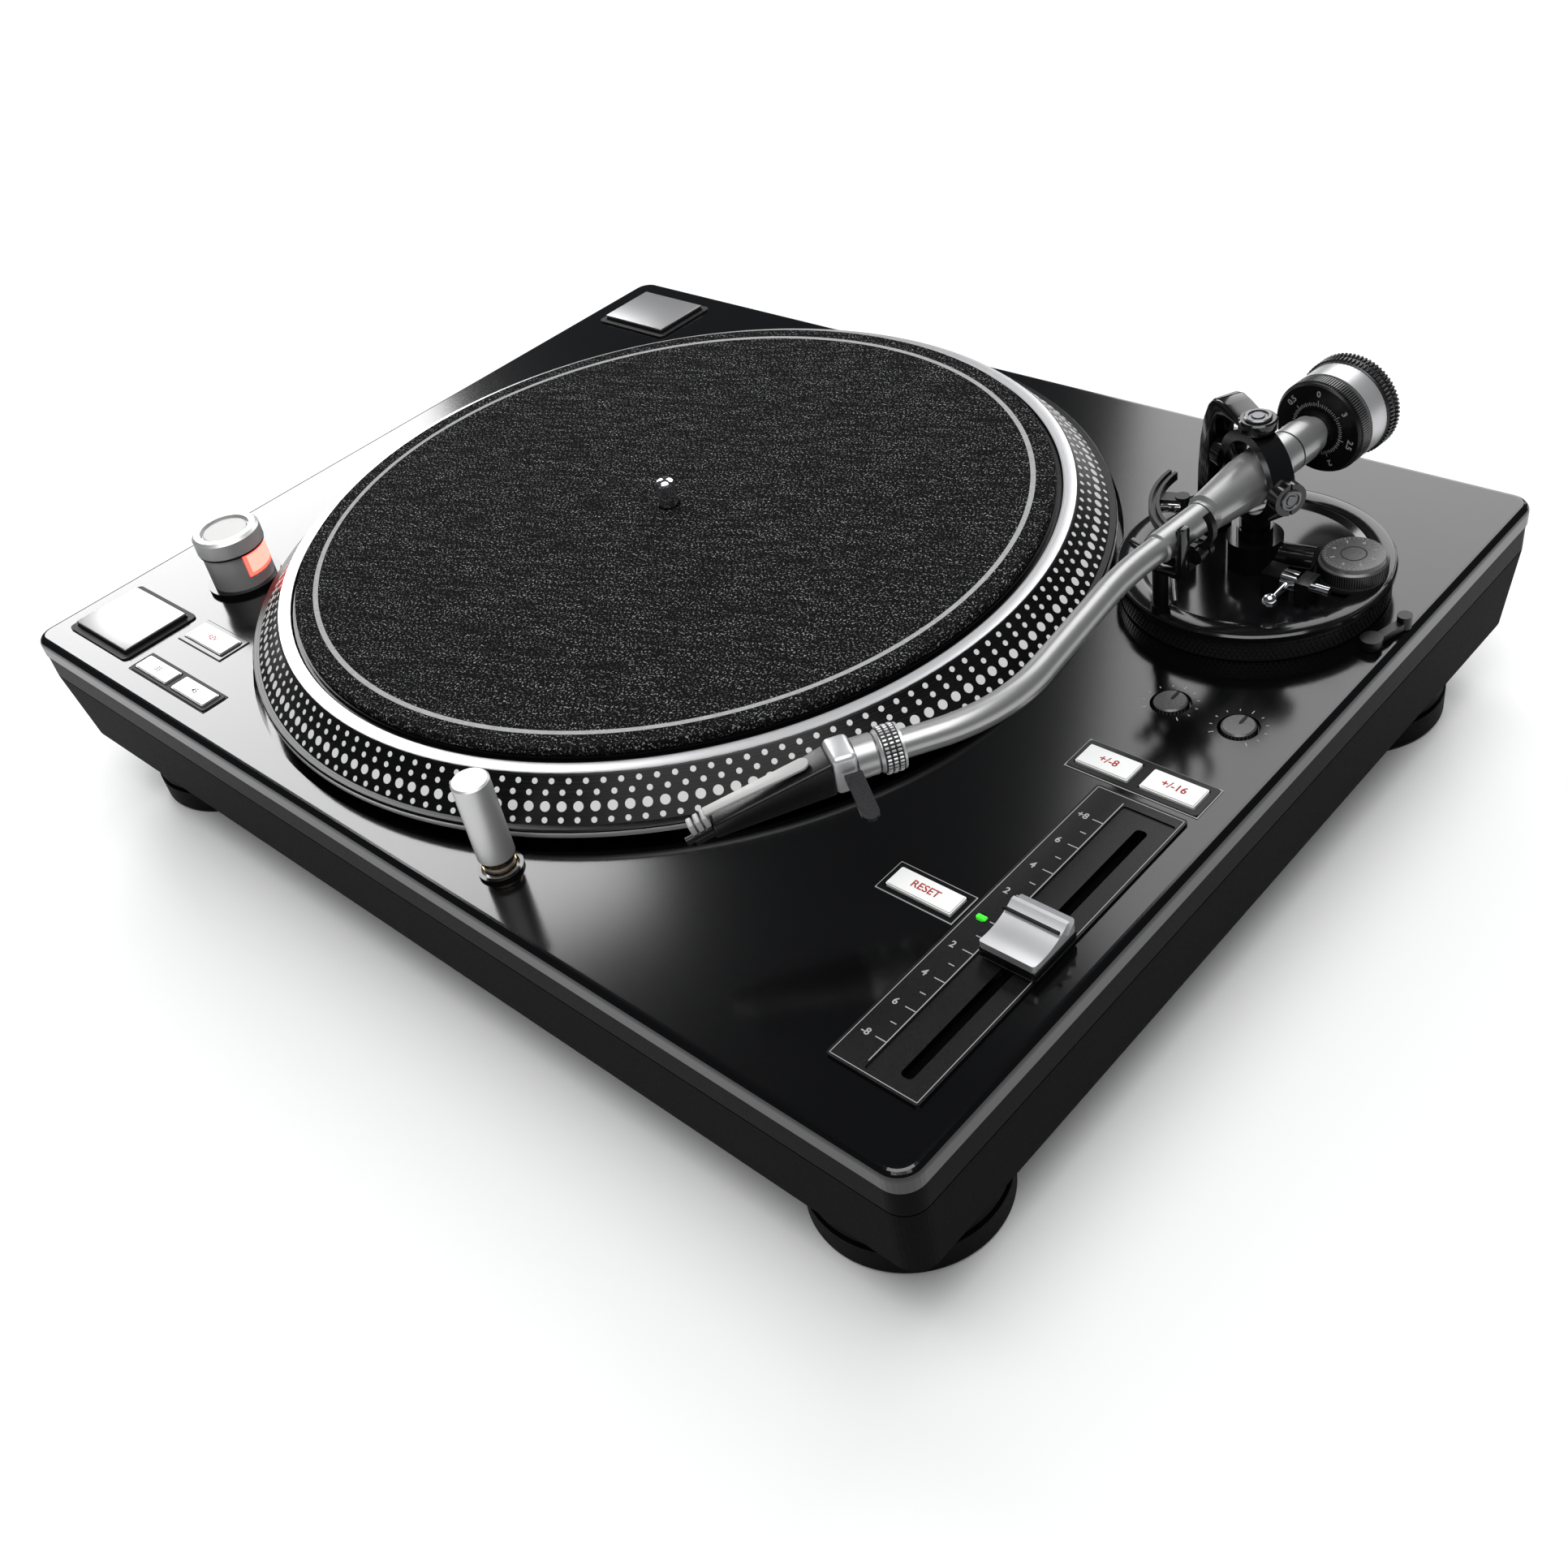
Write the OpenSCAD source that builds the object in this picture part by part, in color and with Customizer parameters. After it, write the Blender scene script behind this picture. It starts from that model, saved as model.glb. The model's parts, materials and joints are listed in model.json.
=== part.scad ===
// Direct-drive turntable. Millimetres, +Z up, front towards -Y.
// The origin is on the surface the feet stand on, under the middle of the plinth.
// Heights above the deck are written as deck_z plus a length.

/* [Plinth] */
// Width of the plinth
body_w = 458; // [450:1:470]
// Depth of the plinth
body_d = 355; // [350:1:362]
// Height of the deck above the surface it stands on
deck_z = 80; // [76:1:86]
// Height of the lower base's bottom edge
base_z = 30; // [28:1:32]
// Radius of the plinth's upright corners
corner_r = 8; // [6:0.5:10]
// How far the lower base leans in at its bottom edge
base_lean = 2.5; // [1.5:0.5:4]
// Radius of a foot
foot_r = 32; // [28:1:33]

/* [Platter] */
// Spindle, right of the plinth's middle
spindle_x = -26; // [-27:1:-24]
// Radius of the platter's flange
platter_r = 166; // [165:0.5:166.5]
// Radius of the slipmat
mat_r = 144.5; // [140:0.5:146]
// Radius of the record spindle
spindle_r = 3.6; // [3.5:0.05:3.62]

/* [Tonearm] */
// Tonearm pivot, right of the plinth's middle
pivot_x = 171.4; // [170:0.2:173]
// Tonearm pivot, behind the plinth's middle
pivot_y = 85; // [83:0.5:88]
// Height of the arm tube above the deck
arm_h = 43; // [42:0.5:44]
// Angle of the parked arm from straight ahead
park_angle = 4.5; // [3:0.5:5]
// Radius of the arm tube
tube_r = 4.3; // [4:0.1:4.5]

/* [Controls] */
// Travel of a push button
button_travel = 1.2; // [0.8:0.1:1.4]
// Place of the pitch fader's handle along its slot
fader_y = -97; // [-120:1:-70]

/* [Hidden] */

$fn = 96;
// Running clearance on a radius
fit = 0.06;
// Clear gap round a part that moves
gap = 0.4;

// Plinth layers, below the deck
roll_r = 3;
plate_t = 4;
skirt_h = 7.5;
band_h = 18;
wall_t = 6;
cover_t = 1.6;
half_w = body_w / 2;
half_d = body_d / 2;
foot_x = half_w - 42;
foot_y = half_d - 41.5;
boss_r = 12;
stud_r = 5;
stud_top = base_z + 12;

// Platter heights above the deck
well_r = platter_r + 2.2;
well_floor = -8;
well_t = 2;
motor_hole_r = 72;
flange_bottom = 3.6;
flange_top = 6.8;
rim_top = 18.7;
mat_bottom = 19.2;
mat_t = 3;
web_bottom = 14.5;
hub_z = 12;
hub_bore_r = 6.1;
stator_r = 57.2;
magnet_r = 58;
bearing_r = 4;
bearing_out_r = 12;
bearing_bottom = -38;

// Buttons: [x, y, width, depth] of each face
ss_w = 39.5;
ss_d = 28.5;
ss_front = [-195.7, -148.3];
ss_rear = [-194.1, 149.4];
key_33 = [-153.4, -161.2, 23, 7.8];
key_45 = [-126.6, -161.2, 23, 7.8];
key_reverse = [-151.8, -137.2, 26.4, 10];
key_reset = [170.4, -94.6, 24, 8.4];
key_8 = [183, -20, 19, 9.4];
key_16 = [206, -20, 19, 9.4];
key_depth = 9;
key_proud = 1.4;
ss_proud = 2.6;
switch_h = 4;
board_t = 1.6;

// Strobe tower, target lamp and trim knobs
tower = [-179.7, -103.6];
tower_r = 12.6;
tower_knob_r = 13.6;
tower_h = 17;
knob_top = 24.5;
window_half = 34;
lamp = [51.8, -158.5];
lamp_r = 6.1;
lamp_top = 36.5;
lamp_travel = 34;
trims = [[182.6, 15.4], [206.8, 15.4]];
trim_r = 5.4;
trim_well_r = 6.6;

// Pitch fader
panel = [201.5, -93.5, 31.5, 127];
slot_x = 208.3;
slot_y = -95.7;
slot_len = 111;
slot_w = 4;
cap_w = 18.5;
cap_l = 19.5;

// Tonearm base, above the deck
ring_r = 44.5;
ring_top = 7.3;
collar_r = 30;
stem_r = 20;
disc_r = 46;
disc_bottom = 7.7;
disc_top = 11;
disc_floor = 9.4;
yoke_angle = -27.5;
post_in = 20.8;
arch_z = 59.8;
arch_top = 63.4;
gimbal_in = 12.5;
gimbal_out = 16;
gimbal_w = 8;
pin_r = 1.5;

// Arm, measured forward from the pivot
cone_r = 8.5;
sleeve_r = 5;
sleeve_end = 52;
bend_1_start = 58;
bend_1_r = 120;
bend_1_angle = 11.5;
mid_len = 40;
bend_2_r = 60;
bend_2_angle = 38.5;
shell_angle = bend_2_angle - bend_1_angle;
// Ends of the tube's straights and bends, seen from above
start_1 = [0, -bend_1_start, 0];
after_1 = start_1 + bend_1_r * [1 - cos(bend_1_angle), -sin(bend_1_angle), 0];
after_2 = after_1 + mid_len * [sin(bend_1_angle), -cos(bend_1_angle), 0];
centre_2 = after_2 - bend_2_r * [cos(bend_1_angle), sin(bend_1_angle), 0];
after_3 = centre_2 + bend_2_r * [cos(shell_angle), -sin(shell_angle), 0];
// The straights are a hair thinner than the bends and lap into them
core_r = tube_r - 0.03;
lap = 1.2;
shell_start = 10;
collar_len = 8;
shaft_r = 5;
weight_r = 16.4;
rest_at = 42;

// Rear panel
rear_z = 46;
inlet_x = -150;
panel_x = 110;
recess = 13;
jack_r = 4.15;

// A box with rounded upright corners, standing on z = 0
module slab(w, d, h, r) {
    linear_extrude(h) union() {
        square([w - 2 * r, d], center = true);
        square([w, d - 2 * r], center = true);
        for (sx = [-1, 1], sy = [-1, 1])
            translate([sx * (w / 2 - r), sy * (d / 2 - r)]) circle(r, $fn = 48);
    }
}

// A tube standing on z = 0
module tube(h, outer, inner) {
    difference() {
        cylinder(h = h, r = outer);
        translate([0, 0, -1]) cylinder(h = h + 2, r = inner);
    }
}

module at_spindle(h) { translate([spindle_x, 0, deck_z + h]) children(); }

module at_pivot(h) { translate([pivot_x, pivot_y, deck_z + h]) children(); }

// The parked arm's frame: -Y runs forward along the tube, and z = 0 is its axis
module on_arm() { at_pivot(arm_h) rotate([0, 0, -park_angle]) children(); }

// The frame at the front end of the bends, with -Y along the cartridge
module on_shell() { on_arm() translate(after_3) rotate([0, 0, -shell_angle]) children(); }

// Four corners of the lean-in base at a height, as a hull's children
module base_corners(inset, z, r) {
    for (sx = [-1, 1], sy = [-1, 1])
        translate([sx * (half_w - inset - r), sy * (half_d - inset - r), z])
            cylinder(h = 0.1, r = r, $fn = 32);
}

module plate_corner() {
    rotate_extrude($fn = 32) {
        square([corner_r - roll_r, skirt_h]);
        square([corner_r, skirt_h - roll_r]);
        intersection() {
            translate([corner_r - roll_r, skirt_h - roll_r]) circle(roll_r, $fn = 24);
            square([corner_r, skirt_h]);
        }
    }
}

module key_hole(key, margin) {
    translate([key[0], key[1], deck_z - plate_t - 1])
        slab(key[2] + margin, key[3] + margin, plate_t + 2, 1);
}

module top_plate() {
    color([0.05, 0.05, 0.055]) {
        difference() {
            hull() for (sx = [-1, 1], sy = [-1, 1])
                translate([sx * (half_w - corner_r), sy * (half_d - corner_r), deck_z - skirt_h])
                    plate_corner();
            translate([0, 0, deck_z - skirt_h - 1])
                slab(body_w - 7, body_d - 7, skirt_h - plate_t + 1, 5);
            at_spindle(-20) cylinder(h = 40, r = well_r);
            for (p = [ss_front, ss_rear])
                translate([p[0], p[1], deck_z - 10]) slab(ss_w + 2, ss_d + 2, 20, 2);
            for (key = [key_33, key_45, key_8, key_16]) key_hole(key, 1.2);
            for (key = [key_reverse, key_reset]) key_hole(key, gap);
            translate([slot_x, slot_y, deck_z - 10]) slab(slot_w + 2, slot_len + 2, 20, 2);
            for (p = trims) translate([p[0], p[1], deck_z - 3.2]) cylinder(h = 10, r = trim_well_r);
            for (p = trims) translate([p[0], p[1], deck_z - 9]) cylinder(h = 10, r = pin_r + fit);
            at_pivot(-20) cylinder(h = 40, r = 34.5);
            translate([lamp[0], lamp[1], deck_z - 10]) cylinder(h = 20, r = lamp_r + 1);
            translate([tower[0], tower[1], deck_z - 10]) cylinder(h = 20, r = 9);
            lock_place() translate([0, 0, -10]) cylinder(h = 20, r = 2 + fit);
        }
        at_spindle(well_floor) difference() {
            cylinder(h = -well_floor - plate_t, r = well_r + 1.2);
            translate([0, 0, well_t]) cylinder(h = 20, r = well_r);
            translate([0, 0, -1]) cylinder(h = 10, r = motor_hole_r);
        }
    }
}

// The band between the deck and the base, with a tongue up inside the deck's skirt
module mid_band() {
    color([0.09, 0.09, 0.1]) difference() {
        union() {
            translate([0, 0, deck_z - band_h + 0.5])
                slab(body_w - 0.8, body_d - 0.8, band_h - skirt_h - 0.8, corner_r);
            translate([0, 0, deck_z - band_h])
                slab(body_w - 7.6, body_d - 7.6, band_h - plate_t, 4.7);
        }
        translate([0, 0, deck_z - band_h - 1])
            slab(body_w - 2 * wall_t, body_d - 2 * wall_t, band_h, 4);
    }
}

module lower_base() {
    depth = deck_z - band_h - base_z;
    color([0.11, 0.11, 0.12]) difference() {
        union() {
            difference() {
                hull() {
                    base_corners(0.4, deck_z - band_h - 0.1, corner_r);
                    base_corners(base_lean + 1, base_z + 1, corner_r);
                    base_corners(base_lean + 2.4, base_z, corner_r);
                }
                translate([0, 0, base_z - 1])
                    slab(body_w - 2 * wall_t - 8, body_d - 2 * wall_t - 8, depth + 2, 4);
            }
            for (sx = [-1, 1], sy = [-1, 1])
                translate([sx * foot_x, sy * foot_y, base_z + cover_t]) {
                    cylinder(h = stud_top + 3 - base_z - cover_t, r = boss_r);
                    translate([sx * 13, sy * 17, 6]) cube([26, 34, 12], center = true);
                }
        }
        for (sx = [-1, 1], sy = [-1, 1])
            translate([sx * foot_x, sy * foot_y, base_z - 1])
                cylinder(h = stud_top - base_z + 1.5, r = stud_r + fit);
        translate([inlet_x, half_d, rear_z]) cube([28, 40, 21], center = true);
        translate([panel_x, half_d, rear_z]) cube([76, 40, 22], center = true);
    }
}

module bottom_cover() {
    color([0.2, 0.2, 0.21]) difference() {
        translate([0, 0, base_z])
            slab(body_w - 2 * wall_t - 8.6, body_d - 2 * wall_t - 8.6, cover_t, 3.5);
        for (sx = [-1, 1], sy = [-1, 1])
            translate([sx * foot_x, sy * foot_y, base_z - 1]) cylinder(h = 5, r = stud_r + 2);
        for (i = [0:8], sx = [-1, 1])
            translate([sx * 60, -60 + 15 * i, base_z + 1]) cube([70, 4, 6], center = true);
    }
}

// Pan-head screws under the rim of the bottom cover
module cover_screws() {
    color([0.7, 0.7, 0.72])
        for (x = [-135, -45, 45, 135], sy = [-1, 1])
            translate([x, sy * (half_d - 20), base_z - 1.6]) difference() {
                cylinder(h = 1.6, r = 3, $fn = 32);
                translate([0, 0, 0.2]) cube([4, 0.8, 1.2], center = true);
                translate([0, 0, 0.2]) cube([0.8, 4, 1.2], center = true);
            }
}

module foot(sx, sy) {
    color([0.06, 0.06, 0.065]) translate([sx * foot_x, sy * foot_y, 0]) {
        rotate_extrude() {
            square([foot_r - 3, base_z - 4]);
            translate([0, 2]) square([foot_r, 9]);
            translate([0, 12.5]) square([foot_r - 0.8, base_z - 17]);
            polygon([[0, base_z - 4], [foot_r - 3, base_z - 4], [foot_r - 6, base_z - 1.5], [0, base_z - 1.5]]);
            polygon([[foot_r - 3, 0], [foot_r - 1.2, 0], [foot_r, 2], [foot_r - 3, 2]]);
        }
        translate([0, 0, base_z - 2]) cylinder(h = stud_top - base_z + 2, r = stud_r);
    }
}

// ---- direct-drive motor ----
module bearing_housing() {
    color([0.62, 0.62, 0.64]) at_spindle(0) difference() {
        union() {
            translate([0, 0, bearing_bottom]) cylinder(h = 8 - bearing_bottom, r = bearing_out_r);
            translate([0, 0, well_floor - 3]) cylinder(h = 3, r = motor_hole_r + 8);
        }
        translate([0, 0, bearing_bottom + 2]) cylinder(h = 60, r = bearing_r + fit);
    }
}

module motor_stator() {
    color([0.35, 0.35, 0.37]) at_spindle(-6) difference() {
        union() {
            tube(9, 24, bearing_out_r);
            difference() {
                for (i = [0:11]) rotate([0, 0, 30 * i]) {
                    translate([20, -3.5, 1]) cube([34, 7, 7]);
                    translate([50, -10, 0]) cube([8, 20, 9]);
                }
                tube(20, 80, stator_r);
            }
        }
        translate([0, 0, -1]) cylinder(h = 12, r = bearing_out_r);
    }
}

// Copper windings on the stator's poles
module stator_coils() {
    color([0.72, 0.42, 0.2]) at_spindle(-6)
        for (i = [0:11]) rotate([0, 0, 30 * i]) translate([28, 0, 4.5]) difference() {
            translate([0, -6.4, -6]) cube([19, 12.8, 12]);
            translate([-1, -3.5, -3.5]) cube([21, 7, 7]);
        }
}

module rotor_magnet() {
    color([0.25, 0.25, 0.27]) at_spindle(-4) tube(web_bottom + 4, magnet_r + 5, magnet_r);
}

module spindle() {
    top = mat_bottom + mat_t + 11.3;
    color([0.85, 0.85, 0.87]) at_spindle(0) {
        translate([0, 0, bearing_bottom + 2.1]) cylinder(h = hub_z - 2 - bearing_bottom, r = bearing_r);
        translate([0, 0, hub_z - 3]) cylinder(h = 3, r = 14);
        translate([0, 0, hub_z - 3]) cylinder(h = mat_bottom - hub_z + 3, r = hub_bore_r - 0.1);
        translate([0, 0, hub_z]) cylinder(h = top - spindle_r * 0.7 - hub_z, r = spindle_r);
        translate([0, 0, top - spindle_r * 0.7]) rotate_extrude() intersection() {
            square([spindle_r, spindle_r * 0.7]);
            dome_outline();
        }
    }
}

// Half outline of the spindle's rounded tip
module dome_outline() {
    polygon(concat([[0, 0]], [for (a = [0:7.5:90]) [spindle_r * cos(a), 0.7 * spindle_r * sin(a)]]));
}

module platter() {
    color([0.12, 0.12, 0.13]) at_spindle(0) rotate_extrude($fn = 180) polygon([
        [hub_bore_r, hub_z], [26, hub_z], [32, web_bottom], [140, web_bottom], [146, 10],
        [150, flange_bottom], [platter_r - 0.4, flange_bottom], [platter_r, flange_bottom + 0.4],
        [platter_r, flange_top - 0.4], [platter_r - 0.4, flange_top], [163.4, flange_top],
        [152.6, rim_top - 0.6], [151.9, rim_top], [147.2, rim_top], [146.6, rim_top - 0.9],
        [145.6, rim_top - 0.9], [145.6, mat_bottom], [hub_bore_r, mat_bottom]]);
}

module slipmat() {
    color([0.16, 0.16, 0.17]) at_spindle(mat_bottom) rotate_extrude($fn = 180) polygon([
        [4.2, 0], [mat_r, 0], [mat_r + 0.4, 0.8], [mat_r, mat_t - 0.6], [mat_r - 0.8, mat_t],
        [4.2, mat_t]]);
}

// ---- buttons, their frames and switches ----
module start_stop_bezels() {
    color([0.08, 0.08, 0.09]) for (p = [ss_front, ss_rear]) translate([p[0], p[1], deck_z])
        difference() {
            union() {
                slab(ss_w + 5.5, ss_d + 5.5, 0.7, 2.4);
                translate([0, 0, -plate_t]) slab(ss_w + 1.8, ss_d + 1.8, plate_t + 0.5, 1.8);
            }
            translate([0, 0, -plate_t - 1]) slab(ss_w + 2 * gap, ss_d + 2 * gap, plate_t + 4, 1);
        }
}

module start_stop(p) {
    color([0.78, 0.78, 0.8]) translate([p[0], p[1], deck_z - key_depth]) {
        slab(ss_w, ss_d, key_depth + ss_proud - 0.6, 1.2);
        translate([0, 0, key_depth + ss_proud - 0.6]) slab(ss_w - 1, ss_d - 1, 0.6, 0.8);
    }
}

module key_frame(w, d, centre, keys) {
    color([0.08, 0.08, 0.09]) difference() {
        union() {
            translate([centre[0], centre[1], deck_z]) slab(w, d, 0.6, 1.2);
            for (key = keys) translate([key[0], key[1], deck_z - plate_t])
                slab(key[2] + 1, key[3] + 1, plate_t + 0.3, 0.9);
        }
        for (key = keys) translate([key[0], key[1], deck_z - plate_t - 1])
            slab(key[2] + 0.6, key[3] + 0.6, plate_t + 4, 0.7);
    }
}

module speed_bezel() { key_frame(54, 10.4, [-140, -161.2], [key_33, key_45]); }

module range_bezel() { key_frame(46, 13.8, [194.9, -20], [key_8, key_16]); }

module push_key(key, tint) {
    color(tint) translate([key[0], key[1], deck_z - key_depth]) {
        slab(key[2] - 0.2, key[3] - 0.2, key_depth + key_proud - 0.4, 0.6);
        translate([0, 0, key_depth + key_proud - 0.4]) slab(key[2] - 0.9, key[3] - 0.9, 0.4, 0.4);
    }
}

// One tact switch on its own small board, hung from the deck
module tact_switch(x, y) {
    top = deck_z - key_depth - button_travel - 0.3;
    translate([x, y, top - switch_h - board_t]) {
        translate([-17, -3.5, 0]) cube([34, 7, board_t]);
        translate([-3, -3, board_t]) cube([6, 6, switch_h - 1]);
        cylinder(h = board_t + switch_h, r = 1.6, $fn = 32);
        for (s = [-1, 1]) translate([s * 15.2 - 1.5, -1.5, 0])
            cube([3, 3, deck_z - plate_t - top + switch_h + board_t]);
    }
}

module wide_switch(x, y) {
    top = deck_z - key_depth - button_travel - 0.3;
    translate([x, y, top - switch_h - board_t]) {
        translate([-26, -5, 0]) cube([52, 10, board_t]);
        translate([-3, -3, board_t]) cube([6, 6, switch_h - 1]);
        cylinder(h = board_t + switch_h, r = 1.6, $fn = 32);
        for (s = [-1, 1]) translate([s * 23.6 - 1.5, -1.5, 0])
            cube([3, 3, deck_z - plate_t - top + switch_h + board_t]);
    }
}

module paired_switch(a, b) {
    top = deck_z - key_depth - button_travel - 0.3;
    low = top - switch_h - board_t;
    translate([(a[0] + b[0]) / 2, a[1], low]) {
        translate([-31, -3.5, 0]) cube([62, 7, board_t]);
        for (s = [-1, 1]) translate([s * 29 - 1.5, -1.5, 0]) cube([3, 3, deck_z - plate_t - low]);
    }
    for (key = [a, b]) translate([key[0], key[1], low]) {
        translate([-3, -3, board_t]) cube([6, 6, switch_h - 1]);
        cylinder(h = board_t + switch_h, r = 1.6, $fn = 32);
    }
}

module tactile_switches() {
    color([0.1, 0.3, 0.16]) {
        wide_switch(ss_front[0], ss_front[1]);
        wide_switch(ss_rear[0], ss_rear[1]);
        tact_switch(key_reverse[0], key_reverse[1]);
        tact_switch(key_reset[0], key_reset[1]);
        paired_switch(key_33, key_45);
        range_switches();
    }
}

// The two pitch-range switches share a board whose posts clear the deck's edge
module range_switches() {
    top = deck_z - key_depth - button_travel - 0.3;
    low = top - switch_h - board_t;
    translate([(key_8[0] + key_16[0]) / 2, key_8[1], low]) {
        translate([-24, -3.5, 0]) cube([48, 13, board_t]);
        for (s = [-1, 1]) translate([s * 22 - 1.5, 6.2, 0]) cube([3, 3, deck_z - plate_t - low]);
    }
    for (key = [key_8, key_16]) translate([key[0], key[1], low]) {
        translate([-3, -3, board_t]) cube([6, 6, switch_h - 1]);
        cylinder(h = board_t + switch_h, r = 1.6, $fn = 32);
    }
}

// ---- strobe tower, target lamp and trim knobs ----
module facing_platter(half) {
    aim = atan2(-tower[1], spindle_x - tower[0]);
    rotate([0, 0, aim]) linear_extrude(9.5)
        polygon([[0, 0], [30 * cos(half), -30 * sin(half)], [30 * cos(half), 30 * sin(half)]]);
}

module power_tower() {
    color([0.66, 0.66, 0.68]) translate([tower[0], tower[1], deck_z]) difference() {
        union() {
            cylinder(h = tower_h, r = tower_r);
            cylinder(h = 1.8, r = 15);
            translate([0, 0, -plate_t - 4]) cylinder(h = plate_t + 5, r = 8.7);
        }
        translate([0, 0, -10]) cylinder(h = 50, r = 4 + fit);
        translate([0, 0, 3.5]) difference() {
            facing_platter(window_half);
            translate([0, 0, -1]) cylinder(h = 20, r = tower_r - 2);
        }
    }
}

module strobe_lens() {
    color([0.85, 0.08, 0.06]) translate([tower[0], tower[1], deck_z + 3.5]) intersection() {
        facing_platter(window_half);
        tube(9.5, tower_r - 0.5, tower_r - 2);
    }
}

module power_knob() {
    color([0.72, 0.72, 0.74]) translate([tower[0], tower[1], deck_z]) {
        translate([0, 0, tower_h + gap]) difference() {
            rotate_extrude() polygon([[0, 0], [tower_knob_r, 0], [tower_knob_r, 5.9],
                [tower_knob_r - 1.2, 7.1], [10, 7.1], [9.4, 5.6], [0, 5.6]]);
            translate([6.6, 0, 5.2]) cylinder(h = 4, r = 0.9, $fn = 32);
        }
        translate([0, 0, -6]) cylinder(h = tower_h + 7, r = 4);
    }
}

module lamp_socket() {
    color([0.5, 0.42, 0.28]) translate([lamp[0], lamp[1], deck_z]) {
        translate([0, 0, -lamp_travel - 8]) tube(lamp_travel + 9.2, lamp_r + 0.9, lamp_r + fit);
        tube(1.2, lamp_r + 1.3, lamp_r + fit);
    }
}

module lamp_barrel() {
    color([0.8, 0.8, 0.82]) translate([lamp[0], lamp[1], deck_z]) difference() {
        rotate_extrude() polygon([[0, -7.6], [lamp_r, -7.6], [lamp_r, -1], [4.4, -1], [4.4, 2.6],
            [5, 2.8], [5, 3.8], [4.4, 4], [4.4, 6], [lamp_r, 6.6], [lamp_r, lamp_top - 0.6],
            [lamp_r - 0.6, lamp_top], [0, lamp_top]]);
        rotate([0, 0, 116]) translate([lamp_r - 2.5, 0, lamp_top - 7]) rotate([0, 90, 0])
            cylinder(h = 10, r = 2.2, $fn = 32);
    }
}

module trim_knob(p) {
    color([0.2, 0.2, 0.21]) translate([p[0], p[1], deck_z]) {
        translate([0, 0, -2.8]) difference() {
            rotate_extrude() polygon([[0, 0], [trim_r, 0], [trim_r, 3.4], [trim_r - 0.5, 3.9], [0, 3.9]]);
            translate([-0.6, 1, 3.4]) cube([1.2, trim_r, 2]);
        }
        translate([0, 0, -7]) cylinder(h = 5, r = pin_r);
    }
}

// ---- pitch fader ----
module fader_panel() {
    color([0.1, 0.1, 0.11]) difference() {
        translate([panel[0], panel[1], deck_z]) slab(panel[2], panel[3], 0.9, 1.2);
        translate([slot_x - 1.6, slot_y + 1, deck_z + 0.4]) slab(18, slot_len + 10, 2, 1);
        translate([slot_x, slot_y, deck_z - 1]) slab(slot_w, slot_len, 5, 1.5);
        translate([190.5, -94.5, deck_z - 0.5]) cylinder(h = 4, r = 1.6, $fn = 32);
    }
}

module fader_track() {
    low = deck_z - 17;
    color([0.45, 0.46, 0.48]) {
        difference() {
            translate([slot_x - 6.5, slot_y - slot_len / 2 - 8, low]) cube([13, slot_len + 16, 9]);
            translate([slot_x - 5, slot_y - slot_len / 2 - 2, low + 1.5]) cube([10, slot_len + 4, 9]);
        }
        for (s = [-1, 1]) translate([slot_x - 6.5, slot_y + s * (slot_len / 2 + 5) - 3, low])
            cube([13, 6, deck_z - plate_t - low]);
    }
}

module fader_cap() {
    top = deck_z + 10.5;
    color([0.76, 0.76, 0.78]) translate([slot_x, fader_y, 0]) {
        translate([0, 0, deck_z + 1.4]) difference() {
            slab(cap_w, cap_l, top - deck_z - 1.4, 1);
            translate([0, -5.4, 25]) rotate([0, 90, 0]) cylinder(h = 40, r = 19.5, center = true);
            translate([0, 2.2, top - deck_z - 1.4]) cube([40, 0.9, 1.2], center = true);
            translate([0, 8.2, top - deck_z - 2.2]) rotate([40, 0, 0]) cube([40, 8, 2.6], center = true);
        }
        translate([-1.4, -4, deck_z - 12]) cube([2.8, 8, 14]);
        translate([-4.2, -5, deck_z - 15]) cube([8.4, 10, 3.5]);
    }
}

// ---- tonearm base ----
module arm_sleeve() {
    color([0.3, 0.3, 0.31]) at_pivot(0) difference() {
        union() {
            translate([0, 0, -14]) cylinder(h = 14, r = 34);
            cylinder(h = ring_top - 0.3, r = collar_r);
            translate([0, 0, -plate_t - 3]) cylinder(h = 3, r = 40);
        }
        translate([0, 0, -20]) cylinder(h = 40, r = stem_r + fit);
    }
}

module height_ring() {
    color([0.07, 0.07, 0.08]) at_pivot(0.4) difference() {
        cylinder(h = ring_top - 0.4, r = ring_r);
        translate([0, 0, -1]) cylinder(h = 20, r = collar_r + fit);
    }
}

module lock_place() { at_pivot(0) rotate([0, 0, -15]) translate([51.5, 0, 0]) children(); }

module lock_lever() {
    color([0.15, 0.15, 0.16]) lock_place() {
        translate([0, 0, 0.1 - plate_t]) cylinder(h = plate_t + 1, r = 2);
        translate([0, 0, 0.4]) cylinder(h = 3.4, r = 3.6);
        translate([-1.6, 0, 0.4]) cube([3.2, 15, 2.6]);
        translate([0, 15, 0.4]) cylinder(h = 4.6, r = 2.4, $fn = 48);
    }
}

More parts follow.
